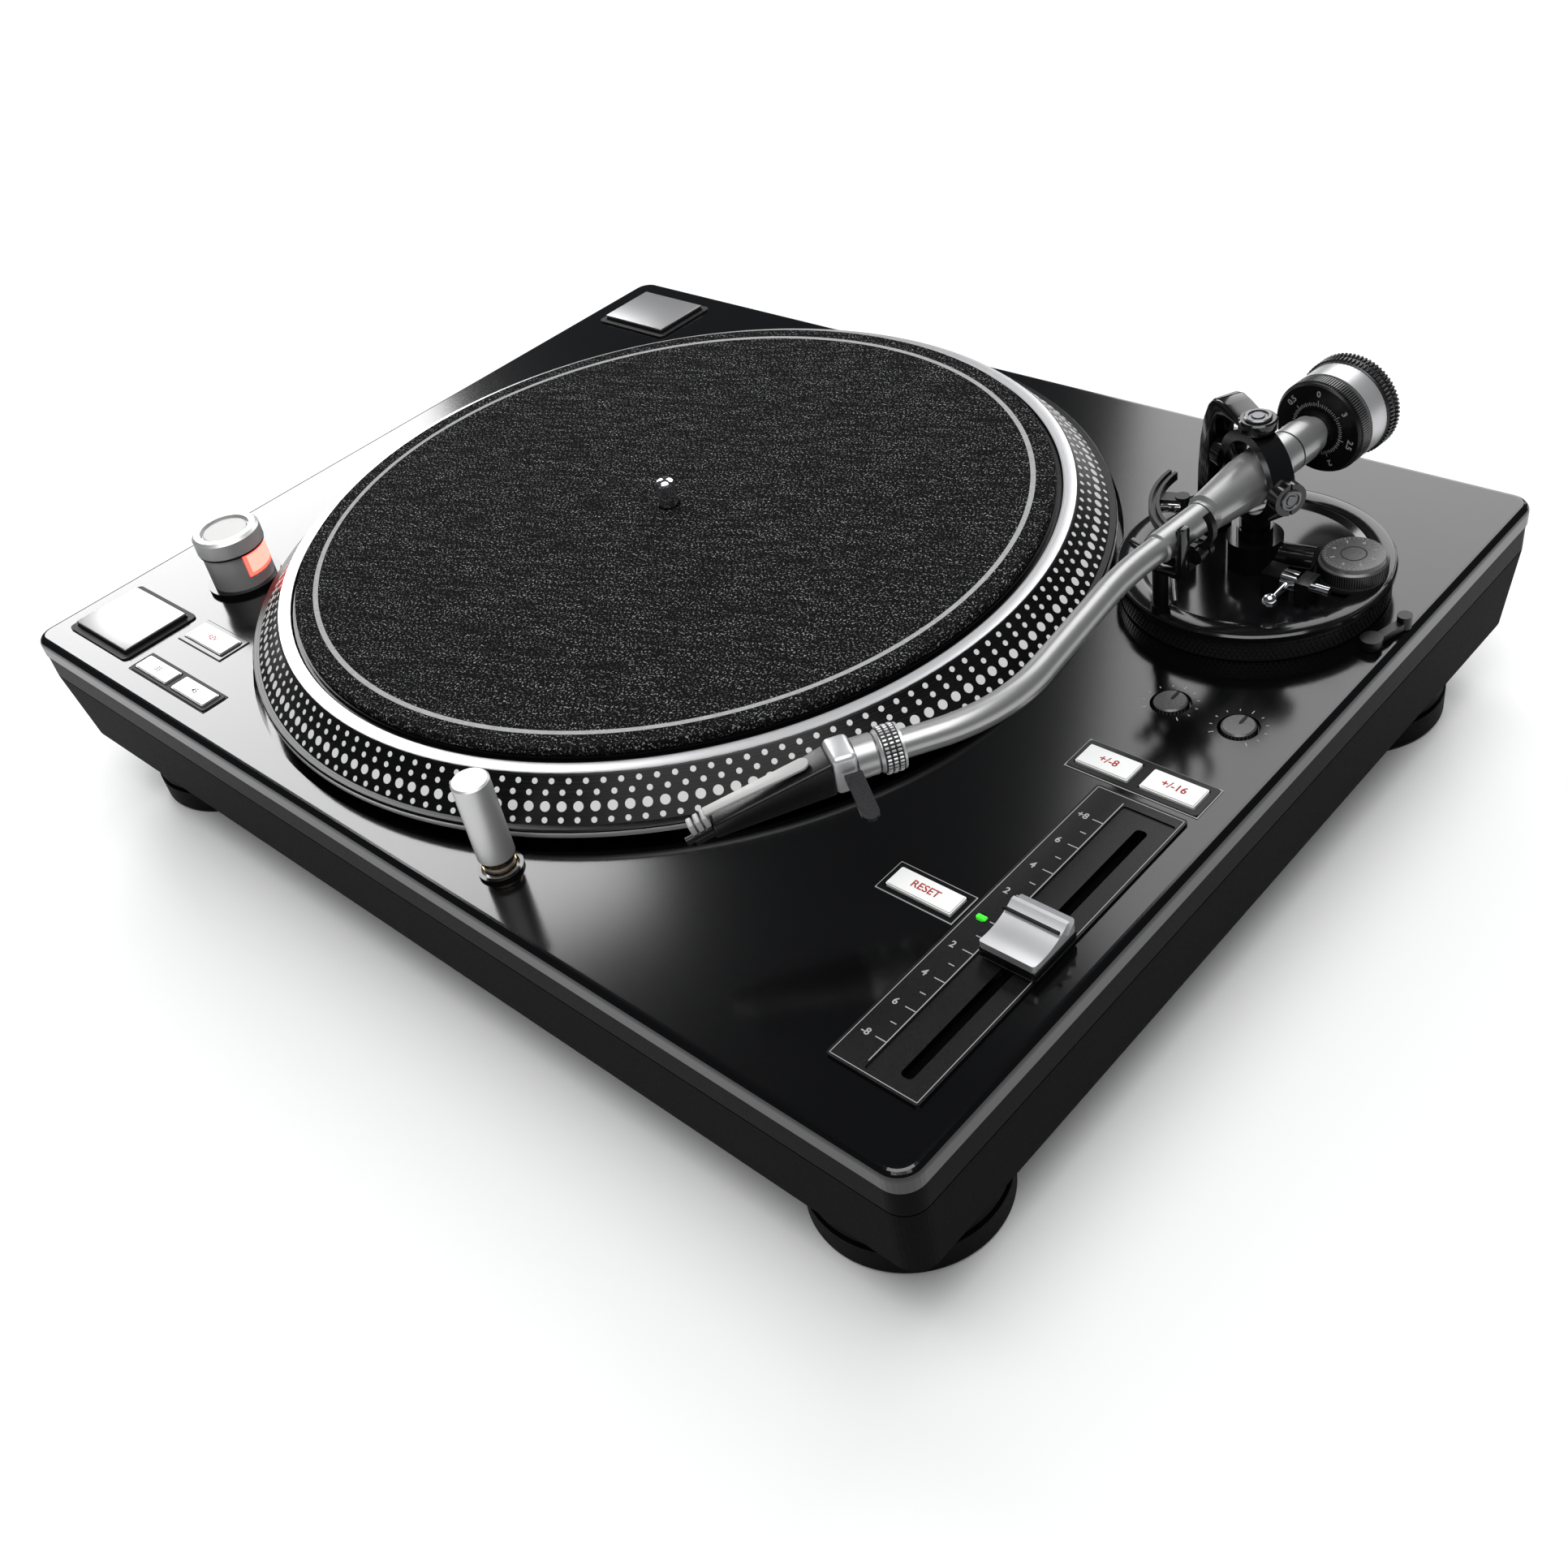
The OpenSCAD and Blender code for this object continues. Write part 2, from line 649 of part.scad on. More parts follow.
module arm_base() {
    color([0.06, 0.06, 0.07]) at_pivot(0) difference() {
        union() {
            rotate_extrude() polygon([[0, disc_bottom], [disc_r - 1, disc_bottom], [disc_r, disc_bottom + 1],
                [disc_r, disc_top - 0.6], [disc_r - 0.6, disc_top], [disc_r - 8, disc_top],
                [disc_r - 10, disc_floor], [0, disc_floor]]);
            translate([0, 0, -12]) cylinder(h = disc_bottom + 13, r = stem_r);
            cylinder(h = 20, r = 9.5);
            translate([0, 0, 20]) cylinder(h = 4, r = 6);
            rotate([0, 0, 10.6]) translate([8, 0, 14]) rotate([0, 90, 0]) cylinder(h = 12.5, r = 4.2);
            antiskate_place() translate([0, 0, disc_floor - 1]) cylinder(h = 2.8, r = 5);
            lifter_place() translate([0, 0, disc_floor - 1]) cylinder(h = 13, r = 4.6);
            translate([12, -17, disc_floor - 1]) cube([6, 8, 10.2]);
            translate([24, -17, disc_floor - 1]) cube([5, 8, 10.2]);
        }
        translate([0, 0, 12]) cylinder(h = 20, r = 2 + fit);
        antiskate_place() translate([0, 0, -1]) cylinder(h = 20, r = 3 + fit);
        lifter_place() cylinder(h = 40, r = 2.4 + fit);
        translate([0, -13, 16]) rotate([0, 90, 0]) cylinder(h = 60, r = 1.6 + fit);
    }
}

module antiskate_place() { translate([32.5, 6, 0]) children(); }

module lifter_place() { rotate([0, 0, 200]) translate([24, 0, 0]) children(); }

module antiskate_dial() {
    color([0.22, 0.22, 0.23]) at_pivot(0) antiskate_place() {
        translate([0, 0, disc_bottom + 0.2]) cylinder(h = disc_top - disc_bottom + 1.4, r = 3);
        translate([0, 0, disc_top + 0.6]) difference() {
            rotate_extrude() polygon([[0, 0], [11, 0], [11, 5.4], [10.4, 6], [10, 7.4], [0, 7.4]]);
            translate([0, 0, 6.9]) tube(2, 4.2, 3.8);
        }
    }
}

module cue_lever() {
    color([0.7, 0.7, 0.72]) at_pivot(16) {
        translate([12.4, -13, 0]) rotate([0, 90, 0]) cylinder(h = 22, r = 1.6);
        translate([18.4, -13, 0]) rotate([0, 90, 0]) cylinder(h = 5.2, r = 3.4);
        translate([20.5, -13, 0]) rotate([90, 0, 0]) cylinder(h = 12, r = 1.1, $fn = 32);
        translate([20.5, -26, 0]) sphere(2.4, $fn = 32);
    }
}

module lift_arc() {
    color([0.08, 0.08, 0.09]) at_pivot(0) {
        translate([0, 0, 34.4 - 3]) rotate([0, 0, 176]) rotate_extrude(angle = 92) {
            translate([31, 0]) square([3.6, 1.6]);
            translate([31, 0]) square([1.2, 3]);
            translate([33.4, 0]) square([1.2, 3]);
        }
        lifter_place() {
            translate([0, 0, disc_bottom + 0.2]) cylinder(h = 33 - disc_bottom, r = 2.4);
            translate([0, -2.6, 29.4]) cube([9.5, 5.2, 3.2]);
        }
    }
}

module armrest_post() {
    post_z = disc_top;
    color([0.08, 0.08, 0.09]) at_pivot(0) rotate([0, 0, -park_angle]) translate([0, -rest_at, 0]) {
        translate([-7, 0, post_z]) cylinder(h = 3, r = 3.2);
        translate([-7, 0, post_z]) cylinder(h = 23, r = 2.6);
        translate([-9.6, -3.5, 31]) cube([14.5, 7, 3.6]);
        difference() {
            translate([0, 3.5, arm_h]) rotate([90, 0, 0]) linear_extrude(7) difference() {
                union() {
                    circle(8.8);
                    translate([8.6, -3.6]) circle(2.8);
                }
                circle(6.9);
                polygon([[0, 0], [6.9, 0], [20, 0], [20, 20], [-20, 20], [-20, -20], [-8, -20]]);
            }
            translate([8.6, 5, arm_h - 3.6]) rotate([90, 0, 0]) cylinder(h = 10, r = 1.2 + fit);
            translate([8.6, 1.4, arm_h - 3.6]) rotate([90, 0, 0]) cylinder(h = 2.8, r = 4.4);
        }
    }
}

// Hook that swings over the parked tube, shown swung open
module armrest_latch() {
    open = 50;
    color([0.08, 0.08, 0.09]) at_pivot(0) rotate([0, 0, -park_angle])
        translate([8.6, -rest_at, arm_h - 3.6]) rotate([0, open, 0]) {
            rotate([90, 0, 0]) cylinder(h = 7.4, r = 1.2, center = true);
            rotate([90, 0, 0]) cylinder(h = 2.2, r = 2.4, center = true);
            translate([-8.6, 1.1, 3.6]) rotate([90, 0, 0]) linear_extrude(2.2) difference() {
                circle(8.2);
                circle(6.2);
                polygon([[0, 0], [-3, 20], [-20, 20], [-20, -20], [20, -20], [20, -9]]);
            }
        }
}

// ---- gimbal ----
module gimbal_arch() {
    color([0.07, 0.07, 0.08]) at_pivot(0) {
        rotate([0, 0, 180 + yoke_angle]) difference() {
            union() {
                translate([post_in, -6, disc_floor]) cube([7.4, 12, arch_z - disc_floor]);
                translate([0, -5, arch_z]) cube([post_in + 3, 10, arch_top - arch_z]);
                translate([post_in + 3, -5, arch_z - 0.8]) intersection() {
                    cube([4.4, 10, arch_top - arch_z + 0.8]);
                    translate([0, 5, 0]) rotate([90, 0, 0]) cylinder(h = 12, r = 4.4, center = true);
                }
            }
            translate([0, 0, arch_z - 1]) cylinder(h = 3, r = 2 + fit);
        }
        translate([0, 0, arch_z]) tube(arch_top - arch_z, 5.4, 2 + fit);
        translate([0, 0, arch_z + 2]) difference() {
            cylinder(h = arch_top - arch_z - 1.2, r = 4.6);
            translate([0, 0, 2.2]) cube([12, 0.9, 1], center = true);
        }
    }
}

// Turning ring that carries the arm's level bearings
module gimbal_ring() {
    color([0.07, 0.07, 0.08]) at_pivot(arm_h) rotate([0, 0, yoke_angle]) difference() {
        union() {
            rotate([90, 0, 0]) translate([0, 0, -gimbal_w / 2]) tube(gimbal_w, gimbal_out, gimbal_in);
            for (s = [-1, 1]) translate([s * (gimbal_out - 1), 0, 0]) rotate([0, s * 90, 0])
                cylinder(h = 4.6, r = 5.6);
            translate([0, 0, gimbal_out - 1]) cylinder(h = 2.6, r = 2);
            translate([0, 0, -arm_h + 20.5 - 5]) cylinder(h = arm_h - 20.5 + 5 - gimbal_out + 1, r = 2);
            translate([0, 0, -arm_h + 24.4]) cylinder(h = arm_h - 24.4 - gimbal_out + 1, r = 5);
        }
        rotate([0, 90, 0]) cylinder(h = 2 * gimbal_out + 1, r = pin_r + fit, center = true);
        rotate([90, 0, 0]) cylinder(h = 20, r = gimbal_in, center = true);
        for (s = [-1, 1]) translate([s * (gimbal_out + 3.6), 0, 0]) cube([1, 0.8, 20], center = true);
    }
}

// ---- arm ----
// A bent length of tube about the z axis
module bend(r, angle) {
    rotate_extrude(angle = angle, $fn = 360) translate([r, 0]) circle(tube_r);
}

module arm_tube() {
    color([0.75, 0.75, 0.77]) {
        on_arm() {
            rotate([-90, 0, 0]) rotate_extrude() polygon([[0, 30], [6.6, 30], [6.6, 25.6], [7.3, 25],
                [7.3, 9.5], [cone_r, 8], [cone_r, -7], [6.4, -28], [sleeve_r, -29], [sleeve_r, -sleeve_end],
                [core_r, -sleeve_end - 0.6], [core_r, -bend_1_start - lap], [0, -bend_1_start - lap]]);
            translate([0, 29, 0]) rotate([-90, 0, 0]) cylinder(h = 30, r = shaft_r);
            rotate([0, 0, yoke_angle + park_angle]) rotate([0, 90, 0])
                cylinder(h = 2 * gimbal_out - 1, r = pin_r, center = true);
            translate(start_1 + [bend_1_r, 0, 0]) rotate([0, 0, 180]) bend(bend_1_r, bend_1_angle);
            translate(after_1) rotate([90, 0, bend_1_angle]) translate([0, 0, -lap])
                cylinder(h = mid_len + 2 * lap, r = core_r);
            translate(centre_2) rotate([0, 0, -shell_angle]) bend(bend_2_r, bend_2_angle);
        }
        on_shell() rotate([90, 0, 0]) translate([0, 0, -lap])
            cylinder(h = shell_start + collar_len + lap, r = core_r);
    }
}

module locking_collar() {
    color([0.7, 0.7, 0.72]) on_shell() translate([0, -shell_start - 0.4, 0]) rotate([90, 0, 0])
        rotate_extrude() polygon([[tube_r + fit, 0], [5.6, 0], [6.4, 0.8], [6.4, 6.4], [5.8, 7.2],
            [tube_r + fit, 7.2]]);
}

// One-piece cartridge and headshell; s runs forward from the tube's end
module cartridge_body() {
    s0 = shell_start + collar_len;
    color([0.12, 0.12, 0.13]) on_shell() translate([0, -s0, 0]) {
        rotate([90, 0, 0]) cylinder(h = 6.4, r = 5.4, $fn = 64);
        translate([0, -6, 0]) rotate([90, 0, 0]) cylinder(h = 10, r = 7.4, $fn = 64);
        hull() {
            translate([0, -14, -0.6]) cube([11, 2, 11.4], center = true);
            translate([0, -16, -1.2]) rotate([90, 0, 0]) cylinder(h = 4, r = 5.4, $fn = 32);
            translate([0, -46, -8.6]) rotate([90, 0, 0]) cylinder(h = 3, r = 2.8, $fn = 32);
        }
    }
}

module finger_lift() {
    s0 = shell_start + collar_len;
    color([0.3, 0.3, 0.31]) on_shell() translate([7.2, -s0 - 8.6, 1]) rotate([0, 14, 0]) {
        translate([0, -2.6, -0.7]) cube([14, 5.2, 1.4]);
        translate([14, 0, -0.7]) cylinder(h = 1.4, r = 2.6, $fn = 32);
    }
}

module stylus() {
    s0 = shell_start + collar_len;
    color([0.8, 0.8, 0.82]) on_shell() translate([0, -s0 - 49, -8.6]) {
        rotate([104, 0, 0]) cylinder(h = 6, r = 2.4, $fn = 32);
        translate([0, -5.4, -1.35]) rotate([104, 0, 0]) cylinder(h = 2.8, r = 1.3, $fn = 32);
        translate([0, -7.2, -1.4]) rotate([180, 0, 0]) cylinder(h = 2.2, r = 0.35, $fn = 16);
    }
}

module scale_ring() {
    color([0.08, 0.08, 0.09]) on_arm() translate([0, 33, 0]) rotate([-90, 0, 0])
        rotate_extrude() polygon([[shaft_r + fit, 0], [6.6, 0], [6.6, 1.4], [15.4, 1.4], [16, 2], [16, 7.4],
            [shaft_r + fit, 7.4]]);
}

module counterweight() {
    color([0.7, 0.7, 0.72]) on_arm() translate([0, 40.9, 0]) rotate([-90, 0, 0])
        rotate_extrude() polygon([[shaft_r + fit, 0], [weight_r, 0], [weight_r, 9], [weight_r - 0.5, 9.3],
            [weight_r + 0.2, 9.8], [weight_r + 0.2, 15.6], [weight_r - 0.8, 16.6], [shaft_r + fit, 16.6]]);
}

// ---- electronics and rear connectors ----
module main_board() {
    z = base_z + cover_t + 6;
    color([0.1, 0.32, 0.18]) translate([95, -40, 0]) {
        translate([-65, -45, z]) cube([130, 90, board_t]);
        for (sx = [-1, 1], sy = [-1, 1]) translate([sx * 60, sy * 40, base_z + cover_t])
            cylinder(h = 6, r = 3, $fn = 32);
        for (x = [-40:20:40]) translate([x, 25, z + board_t]) cylinder(h = 12, r = 5, $fn = 32);
        translate([-30, -20, z + board_t]) cube([18, 18, 2]);
        translate([10, -25, z + board_t]) cube([24, 10, 3]);
        translate([40, -5, z + board_t]) cube([12, 30, 14]);
    }
}

module transformer() {
    z = base_z + cover_t;
    color([0.5, 0.5, 0.52]) translate([-140, 106, z]) {
        translate([-30, -20, 0]) cube([60, 40, 2]);
        translate([-24, -14, 2]) cube([48, 28, 30]);
        translate([-15, -21, 7]) cube([30, 42, 20]);
    }
}

module mains_inlet() {
    color([0.05, 0.05, 0.05]) translate([inlet_x, 0, rear_z]) {
        difference() {
            translate([-14, half_d - 26, -10.5]) cube([28, 24.2, 21]);
            translate([0, half_d - 17, 0]) rotate([-90, 0, 0])
                linear_extrude(30) polygon([[-12, 8], [12, 8], [12, -4], [8, -8], [-8, -8], [-12, -4]]);
        }
        for (x = [-7, 0, 7]) translate([x - 1, half_d - 17.5, -3]) cube([2, 10, 5]);
    }
}

module rca_panel() {
    y0 = half_d - recess - 2;
    color([0.12, 0.12, 0.13]) {
        translate([panel_x - 40, y0 - 2, rear_z - 13]) difference() {
            cube([80, half_d - wall_t - 4 - y0 + 2, 26]);
            translate([2, 2, 2]) cube([76, 20, 22]);
        }
        for (x = [-28, -14, 4, 18]) translate([panel_x + x, y0, rear_z]) rotate([-90, 0, 0]) {
            cylinder(h = 1, r = 5.6, $fn = 48);
            tube(9, jack_r, 2.4);
        }
        translate([panel_x + 31, y0, rear_z + 3]) rotate([-90, 0, 0]) cylinder(h = 9, r = 3, $fn = 48);
    }
}

top_plate();
mid_band();
lower_base();
bottom_cover();
cover_screws();
motor_stator();
stator_coils();
bearing_housing();
main_board();
transformer();
mains_inlet();
rca_panel();
start_stop_bezels();
speed_bezel();
range_bezel();
tactile_switches();
power_tower();
strobe_lens();
lamp_socket();
fader_panel();
fader_track();
arm_sleeve();
platter();
slipmat();
rotor_magnet();
spindle();
start_stop(ss_front);  // start_stop_front
start_stop(ss_rear);  // start_stop_rear
push_key(key_reverse, [0.1, 0.1, 0.11]);  // reverse_button
push_key(key_33, [0.1, 0.1, 0.11]);  // speed_33_button
push_key(key_45, [0.1, 0.1, 0.11]);  // speed_45_button
push_key(key_reset, [0.9, 0.9, 0.88]);  // reset_button
push_key(key_8, [0.9, 0.9, 0.88]);  // range_8_button
push_key(key_16, [0.9, 0.9, 0.88]);  // range_16_button
power_knob();
lamp_barrel();
fader_cap();
trim_knob(trims[0]);  // start_trim_knob
trim_knob(trims[1]);  // brake_trim_knob
foot(-1, -1);  // foot_front_left
foot(1, -1);  // foot_front_right
foot(-1, 1);  // foot_rear_left
foot(1, 1);  // foot_rear_right
height_ring();
lock_lever();
arm_base();
gimbal_arch();
armrest_post();
antiskate_dial();
armrest_latch();
lift_arc();
cue_lever();
gimbal_ring();
arm_tube();
locking_collar();
cartridge_body();
finger_lift();
stylus();
scale_ring();
counterweight();
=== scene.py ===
"""A direct-drive turntable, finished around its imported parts. Millimetres until a mesh is done."""

import json
import math

import bmesh
import bpy
from bpy.props import FloatProperty, FloatVectorProperty, IntProperty, PointerProperty
from mathutils import Matrix, Vector


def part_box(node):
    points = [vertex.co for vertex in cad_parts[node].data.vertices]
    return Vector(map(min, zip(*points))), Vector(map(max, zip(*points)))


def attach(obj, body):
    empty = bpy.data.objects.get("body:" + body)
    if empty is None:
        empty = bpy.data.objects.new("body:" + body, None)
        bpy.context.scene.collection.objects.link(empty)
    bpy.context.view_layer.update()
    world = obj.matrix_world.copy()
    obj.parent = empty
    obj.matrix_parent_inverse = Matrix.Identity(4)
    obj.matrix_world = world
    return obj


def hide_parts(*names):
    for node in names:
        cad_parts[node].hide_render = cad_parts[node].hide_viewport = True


bl_info = {
    "name": "Turntable Finisher",
    "version": (1, 0, 0),
    "blender": (4, 5, 0),
    "location": "View3D > Sidebar > Turntable",
    "description": "Gives a direct-drive turntable its finishes, prints and fine details",
    "category": "Object",
}

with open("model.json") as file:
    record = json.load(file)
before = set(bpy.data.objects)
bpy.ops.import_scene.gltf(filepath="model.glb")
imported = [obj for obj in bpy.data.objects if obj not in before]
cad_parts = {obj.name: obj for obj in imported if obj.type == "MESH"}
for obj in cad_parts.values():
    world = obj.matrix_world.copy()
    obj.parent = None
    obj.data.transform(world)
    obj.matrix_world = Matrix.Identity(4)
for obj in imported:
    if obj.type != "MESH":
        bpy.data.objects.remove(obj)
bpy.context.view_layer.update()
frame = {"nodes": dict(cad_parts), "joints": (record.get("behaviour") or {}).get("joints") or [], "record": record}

MM = 0.001
JOINTS = {j["name"]: j for j in frame["joints"]}


def node_box(node):
    """Lowest and highest corner of a CAD node, in millimetres."""
    low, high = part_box(node)
    return low / MM, high / MM


def node_centre(node):
    """Middle of a CAD node's box, in millimetres."""
    low, high = node_box(node)
    return (low + high) / 2


def joint_point(name):
    """A point on a joint's axis, in millimetres."""
    return Vector(JOINTS[name]["pos_m"]) / MM


def joint_axis(name):
    """A joint's direction, one long."""
    return Vector(JOINTS[name]["axis"]).normalized()


DECK = node_box("start_stop_bezels")[1].z - 0.7
SPINDLE = joint_point("platter_spin")
PIVOT = joint_point("arm_lift")
ARM_BACK = joint_axis("weight_travel")
ARM_TURN = -math.degrees(math.atan2(ARM_BACK.x, ARM_BACK.y))
SHELL_WAY = joint_axis("collar_lock")
SHELL_TURN = math.degrees(math.atan2(SHELL_WAY.x, -SHELL_WAY.y))
YOKE_AXIS = joint_axis("arm_lift")
YOKE_TURN = math.degrees(math.atan2(YOKE_AXIS.y, YOKE_AXIS.x)) - 180


def at(x=0.0, y=0.0, z=0.0):
    """A move."""
    return Matrix.Translation((x, y, z))


def turn(angle, axis="Z"):
    """A turn, in degrees."""
    return Matrix.Rotation(math.radians(angle), 4, axis)


ON_SPINDLE = at(SPINDLE.x, SPINDLE.y, DECK)
ON_PIVOT = at(PIVOT.x, PIVOT.y, DECK)
ON_ARM = at(*PIVOT) @ turn(ARM_TURN)
ON_SHELL = at(*(joint_point("collar_lock") - SHELL_WAY * 14)) @ turn(SHELL_TURN)
ALONG = turn(-90, "X")
AHEAD = turn(90, "X")

# Camera and lights, in metres, degrees and watts.
CAMERA_PLACE = (0.4094, -0.3413, 0.4142)
AZIMUTH, ELEVATION, ROLL = 49.74, 39.66, -11.74
FLOOR_HALF = 12.0
SKY_COLOUR, SKY_STRENGTH = (0.9, 0.95, 1.0, 1), 0.07
SOFTBOXES = (  # name, place, aim, size, power
    ("top_light", (0.55, -0.5, 2.4), (0.05, -0.05, 0), (2.2, 2.2), 72),
    ("back_light", (-0.49, 2.2, 1.6), (-0.2, 0, 0.9), (1.54, 2.1), 33),
    ("left_light", (-2.25, 0.76, 1.5), (-0.3, 0.2, 0.6), (0.95, 1.45), 37),
)

# Platter: radii, and heights above the deck.
RIM_FOOT, RIM_HEAD = Vector((163.4, 6.8)), Vector((152.6, 18.1))
DOT_SIDES, DOT_DEPTH = 14, 0.16
ROUND = 360
MAT_RING = (135.6, 137.5)

# Controls.
SCALE_STEP = 12.62
LONG_MARK, SHORT_MARK, MARK_WIDTH = 3.6, 2.0, 0.32
LONG_MARK_X, SHORT_MARK_X, FIGURE_X, SCALE_LINE_X = 195.2, 194.4, 190.0, 197.2
LED_PLACE, LED_SIZE = (190.5, -94.5), (3.4, 1.7, 1.5)
PRINT_DEPTH = 0.06
WINDOW_LOW, WINDOW_HIGH, WINDOW_HALF = 6.6, 16.7, 41
TRIM_RIBS, TRIM_MARKS, TRIM_SWEEP = 28, 11, 270

# Arm base and arm.
STUD_ROWS, STUDS, STUD_RADIUS = 4, 160, 44.55
DIAL_MARKS, DIAL_FIGURES, DIAL_RIBS = 40, 8, 90
YOKE_NUT, TOP_NUT = 3.7, 4.5
SCALE_FACE, FORCE_MARKS, FORCE_FIGURES, RIM_RIBS = 34.4, 70, 7, 120
GRIP_RIBS, COLLAR_RIBS, COLLAR_ROWS = 72, 36, 3


# ---- finishes -----------------------------------------------------------------

FINISHES = {}


def shaded(name, colour, roughness, metallic=0.0, **sockets):
    """A material with its Principled shader set, ready for detail nodes."""
    material = bpy.data.materials.new(name)
    material.use_nodes = True
    shader = material.node_tree.nodes["Principled BSDF"]
    shader.inputs["Base Color"].default_value = (*colour, 1)
    shader.inputs["Roughness"].default_value = roughness
    shader.inputs["Metallic"].default_value = metallic
    for socket, value in sockets.items():
        shader.inputs[socket.replace("_", " ")].default_value = value
    FINISHES[name] = material
    return material, material.node_tree, shader


def linked(tree, kind, values=(), **settings):
    """A node with its settings and its input values, or links, in place."""
    made = tree.nodes.new(kind)
    for key, value in settings.items():
        setattr(made, key, value)
    for key, value in dict(values).items():
        if isinstance(value, bpy.types.NodeSocket):
            tree.links.new(value, made.inputs[key])
        else:
            made.inputs[key].default_value = value
    return made


def finish(name, colour, roughness, metallic=0.0, grain=1500.0, depth=0.02, mottle=0.12,
           spread=0.05, stretch=(1, 1, 1), wear=40.0, **sockets):
    """A plain finish with fine grain in its relief, broad change in colour and roughness."""
    material, tree, shader = shaded(name, colour, roughness, metallic, **sockets)
    coords = linked(tree, "ShaderNodeTexCoord").outputs["Object"]
    drawn = linked(tree, "ShaderNodeMapping", {"Vector": coords, "Scale": stretch})
    fine = linked(tree, "ShaderNodeTexNoise",
                  {"Vector": drawn.outputs[0], "Scale": grain, "Detail": 3.0, "Roughness": 0.6})
    broad = linked(tree, "ShaderNodeTexNoise", {"Vector": coords, "Scale": wear, "Detail": 4.0})
    tint = linked(tree, "ShaderNodeMix", {
        "Factor": broad.outputs["Fac"],
        "A": (*[c * (1 - mottle) for c in colour], 1),
        "B": (*[min(1.0, c * (1 + mottle)) for c in colour], 1)}, data_type="RGBA")
    tree.links.new(tint.outputs["Result"], shader.inputs["Base Color"])
    dull = linked(tree, "ShaderNodeMapRange", {
        "Value": fine.outputs["Fac"], "From Min": 0.3, "From Max": 0.7,
        "To Min": max(0.02, roughness - spread), "To Max": roughness + spread})
    tree.links.new(dull.outputs[0], shader.inputs["Roughness"])
    bump = linked(tree, "ShaderNodeBump", {
        "Height": fine.outputs["Fac"], "Strength": 1.0, "Distance": depth * MM})
    tree.links.new(bump.outputs[0], shader.inputs["Normal"])
    return material


def felt_finish(name, colour, fleck):
    """Black felt: pale flecks of fibre over dark ones, in faint rows."""
    material, tree, shader = shaded(name, colour, 0.95, 0.0, Specular_IOR_Level=0.05)
    coords = linked(tree, "ShaderNodeTexCoord").outputs["Object"]
    rows = linked(tree, "ShaderNodeMapping",
                  {"Vector": coords, "Rotation": (0, 0, math.radians(24)), "Scale": (8, 1, 1)},
                  vector_type="TEXTURE")
    streak = linked(tree, "ShaderNodeTexNoise",
                    {"Vector": rows.outputs[0], "Scale": 520.0, "Detail": 3.0})
    speck = linked(tree, "ShaderNodeTexNoise", {"Vector": coords, "Scale": 1350.0, "Detail": 3.0})
    lift = linked(tree, "ShaderNodeMapRange", {
        "Value": streak.outputs["Fac"], "From Min": 0.38, "From Max": 0.66,
        "To Min": 0.15, "To Max": 1.0})
    sharp = linked(tree, "ShaderNodeMapRange", {
        "Value": speck.outputs["Fac"], "From Min": 0.56, "From Max": 0.68, "To Max": 1.0})
    amount = linked(tree, "ShaderNodeMath",
                    {0: sharp.outputs[0], 1: lift.outputs[0]}, operation="MULTIPLY")
    strong = linked(tree, "ShaderNodeMath",
                      {0: amount.outputs[0], 1: 1.3}, operation="MULTIPLY", use_clamp=True)
    tint = linked(tree, "ShaderNodeMix", {
        "Factor": strong.outputs[0], "A": (*colour, 1), "B": (*fleck, 1)}, data_type="RGBA")
    tree.links.new(tint.outputs["Result"], shader.inputs["Base Color"])
    bump = linked(tree, "ShaderNodeBump",
                  {"Height": speck.outputs["Fac"], "Strength": 1.0, "Distance": 0.12 * MM})
    tree.links.new(bump.outputs[0], shader.inputs["Normal"])
    return material


def turned_finish(name, colour, roughness, metallic, centre, pitch=2200.0, depth=0.01, **sockets):
    """Metal or lacquer faced on a lathe: fine rings about an upright axis through centre."""
    material, tree, shader = shaded(name, colour, roughness, metallic, **sockets)
    coords = linked(tree, "ShaderNodeTexCoord").outputs["Object"]
    moved = linked(tree, "ShaderNodeMapping",
                   {"Vector": coords, "Location": [-c * MM for c in centre]})
    split = linked(tree, "ShaderNodeSeparateXYZ", {"Vector": moved.outputs[0]})
    flat = linked(tree, "ShaderNodeCombineXYZ", {"X": split.outputs[0], "Y": split.outputs[1]})
    radius = linked(tree, "ShaderNodeVectorMath", {0: flat.outputs[0]}, operation="LENGTH")
    line = linked(tree, "ShaderNodeCombineXYZ",
                  {"X": radius.outputs["Value"], "Z": split.outputs[2]})
    rings = linked(tree, "ShaderNodeTexNoise",
                   {"Vector": line.outputs[0], "Scale": pitch, "Detail": 2.0})
    dull = linked(tree, "ShaderNodeMapRange", {
        "Value": rings.outputs["Fac"], "From Min": 0.3, "From Max": 0.7,
        "To Min": max(0.02, roughness - 0.08), "To Max": roughness + 0.08})
    tree.links.new(dull.outputs[0], shader.inputs["Roughness"])
    bump = linked(tree, "ShaderNodeBump", {
        "Height": rings.outputs["Fac"], "Strength": 1.0, "Distance": depth * MM})
    tree.links.new(bump.outputs[0], shader.inputs["Normal"])
    return material


# ---- shapes, in millimetres ---------------------------------------------------

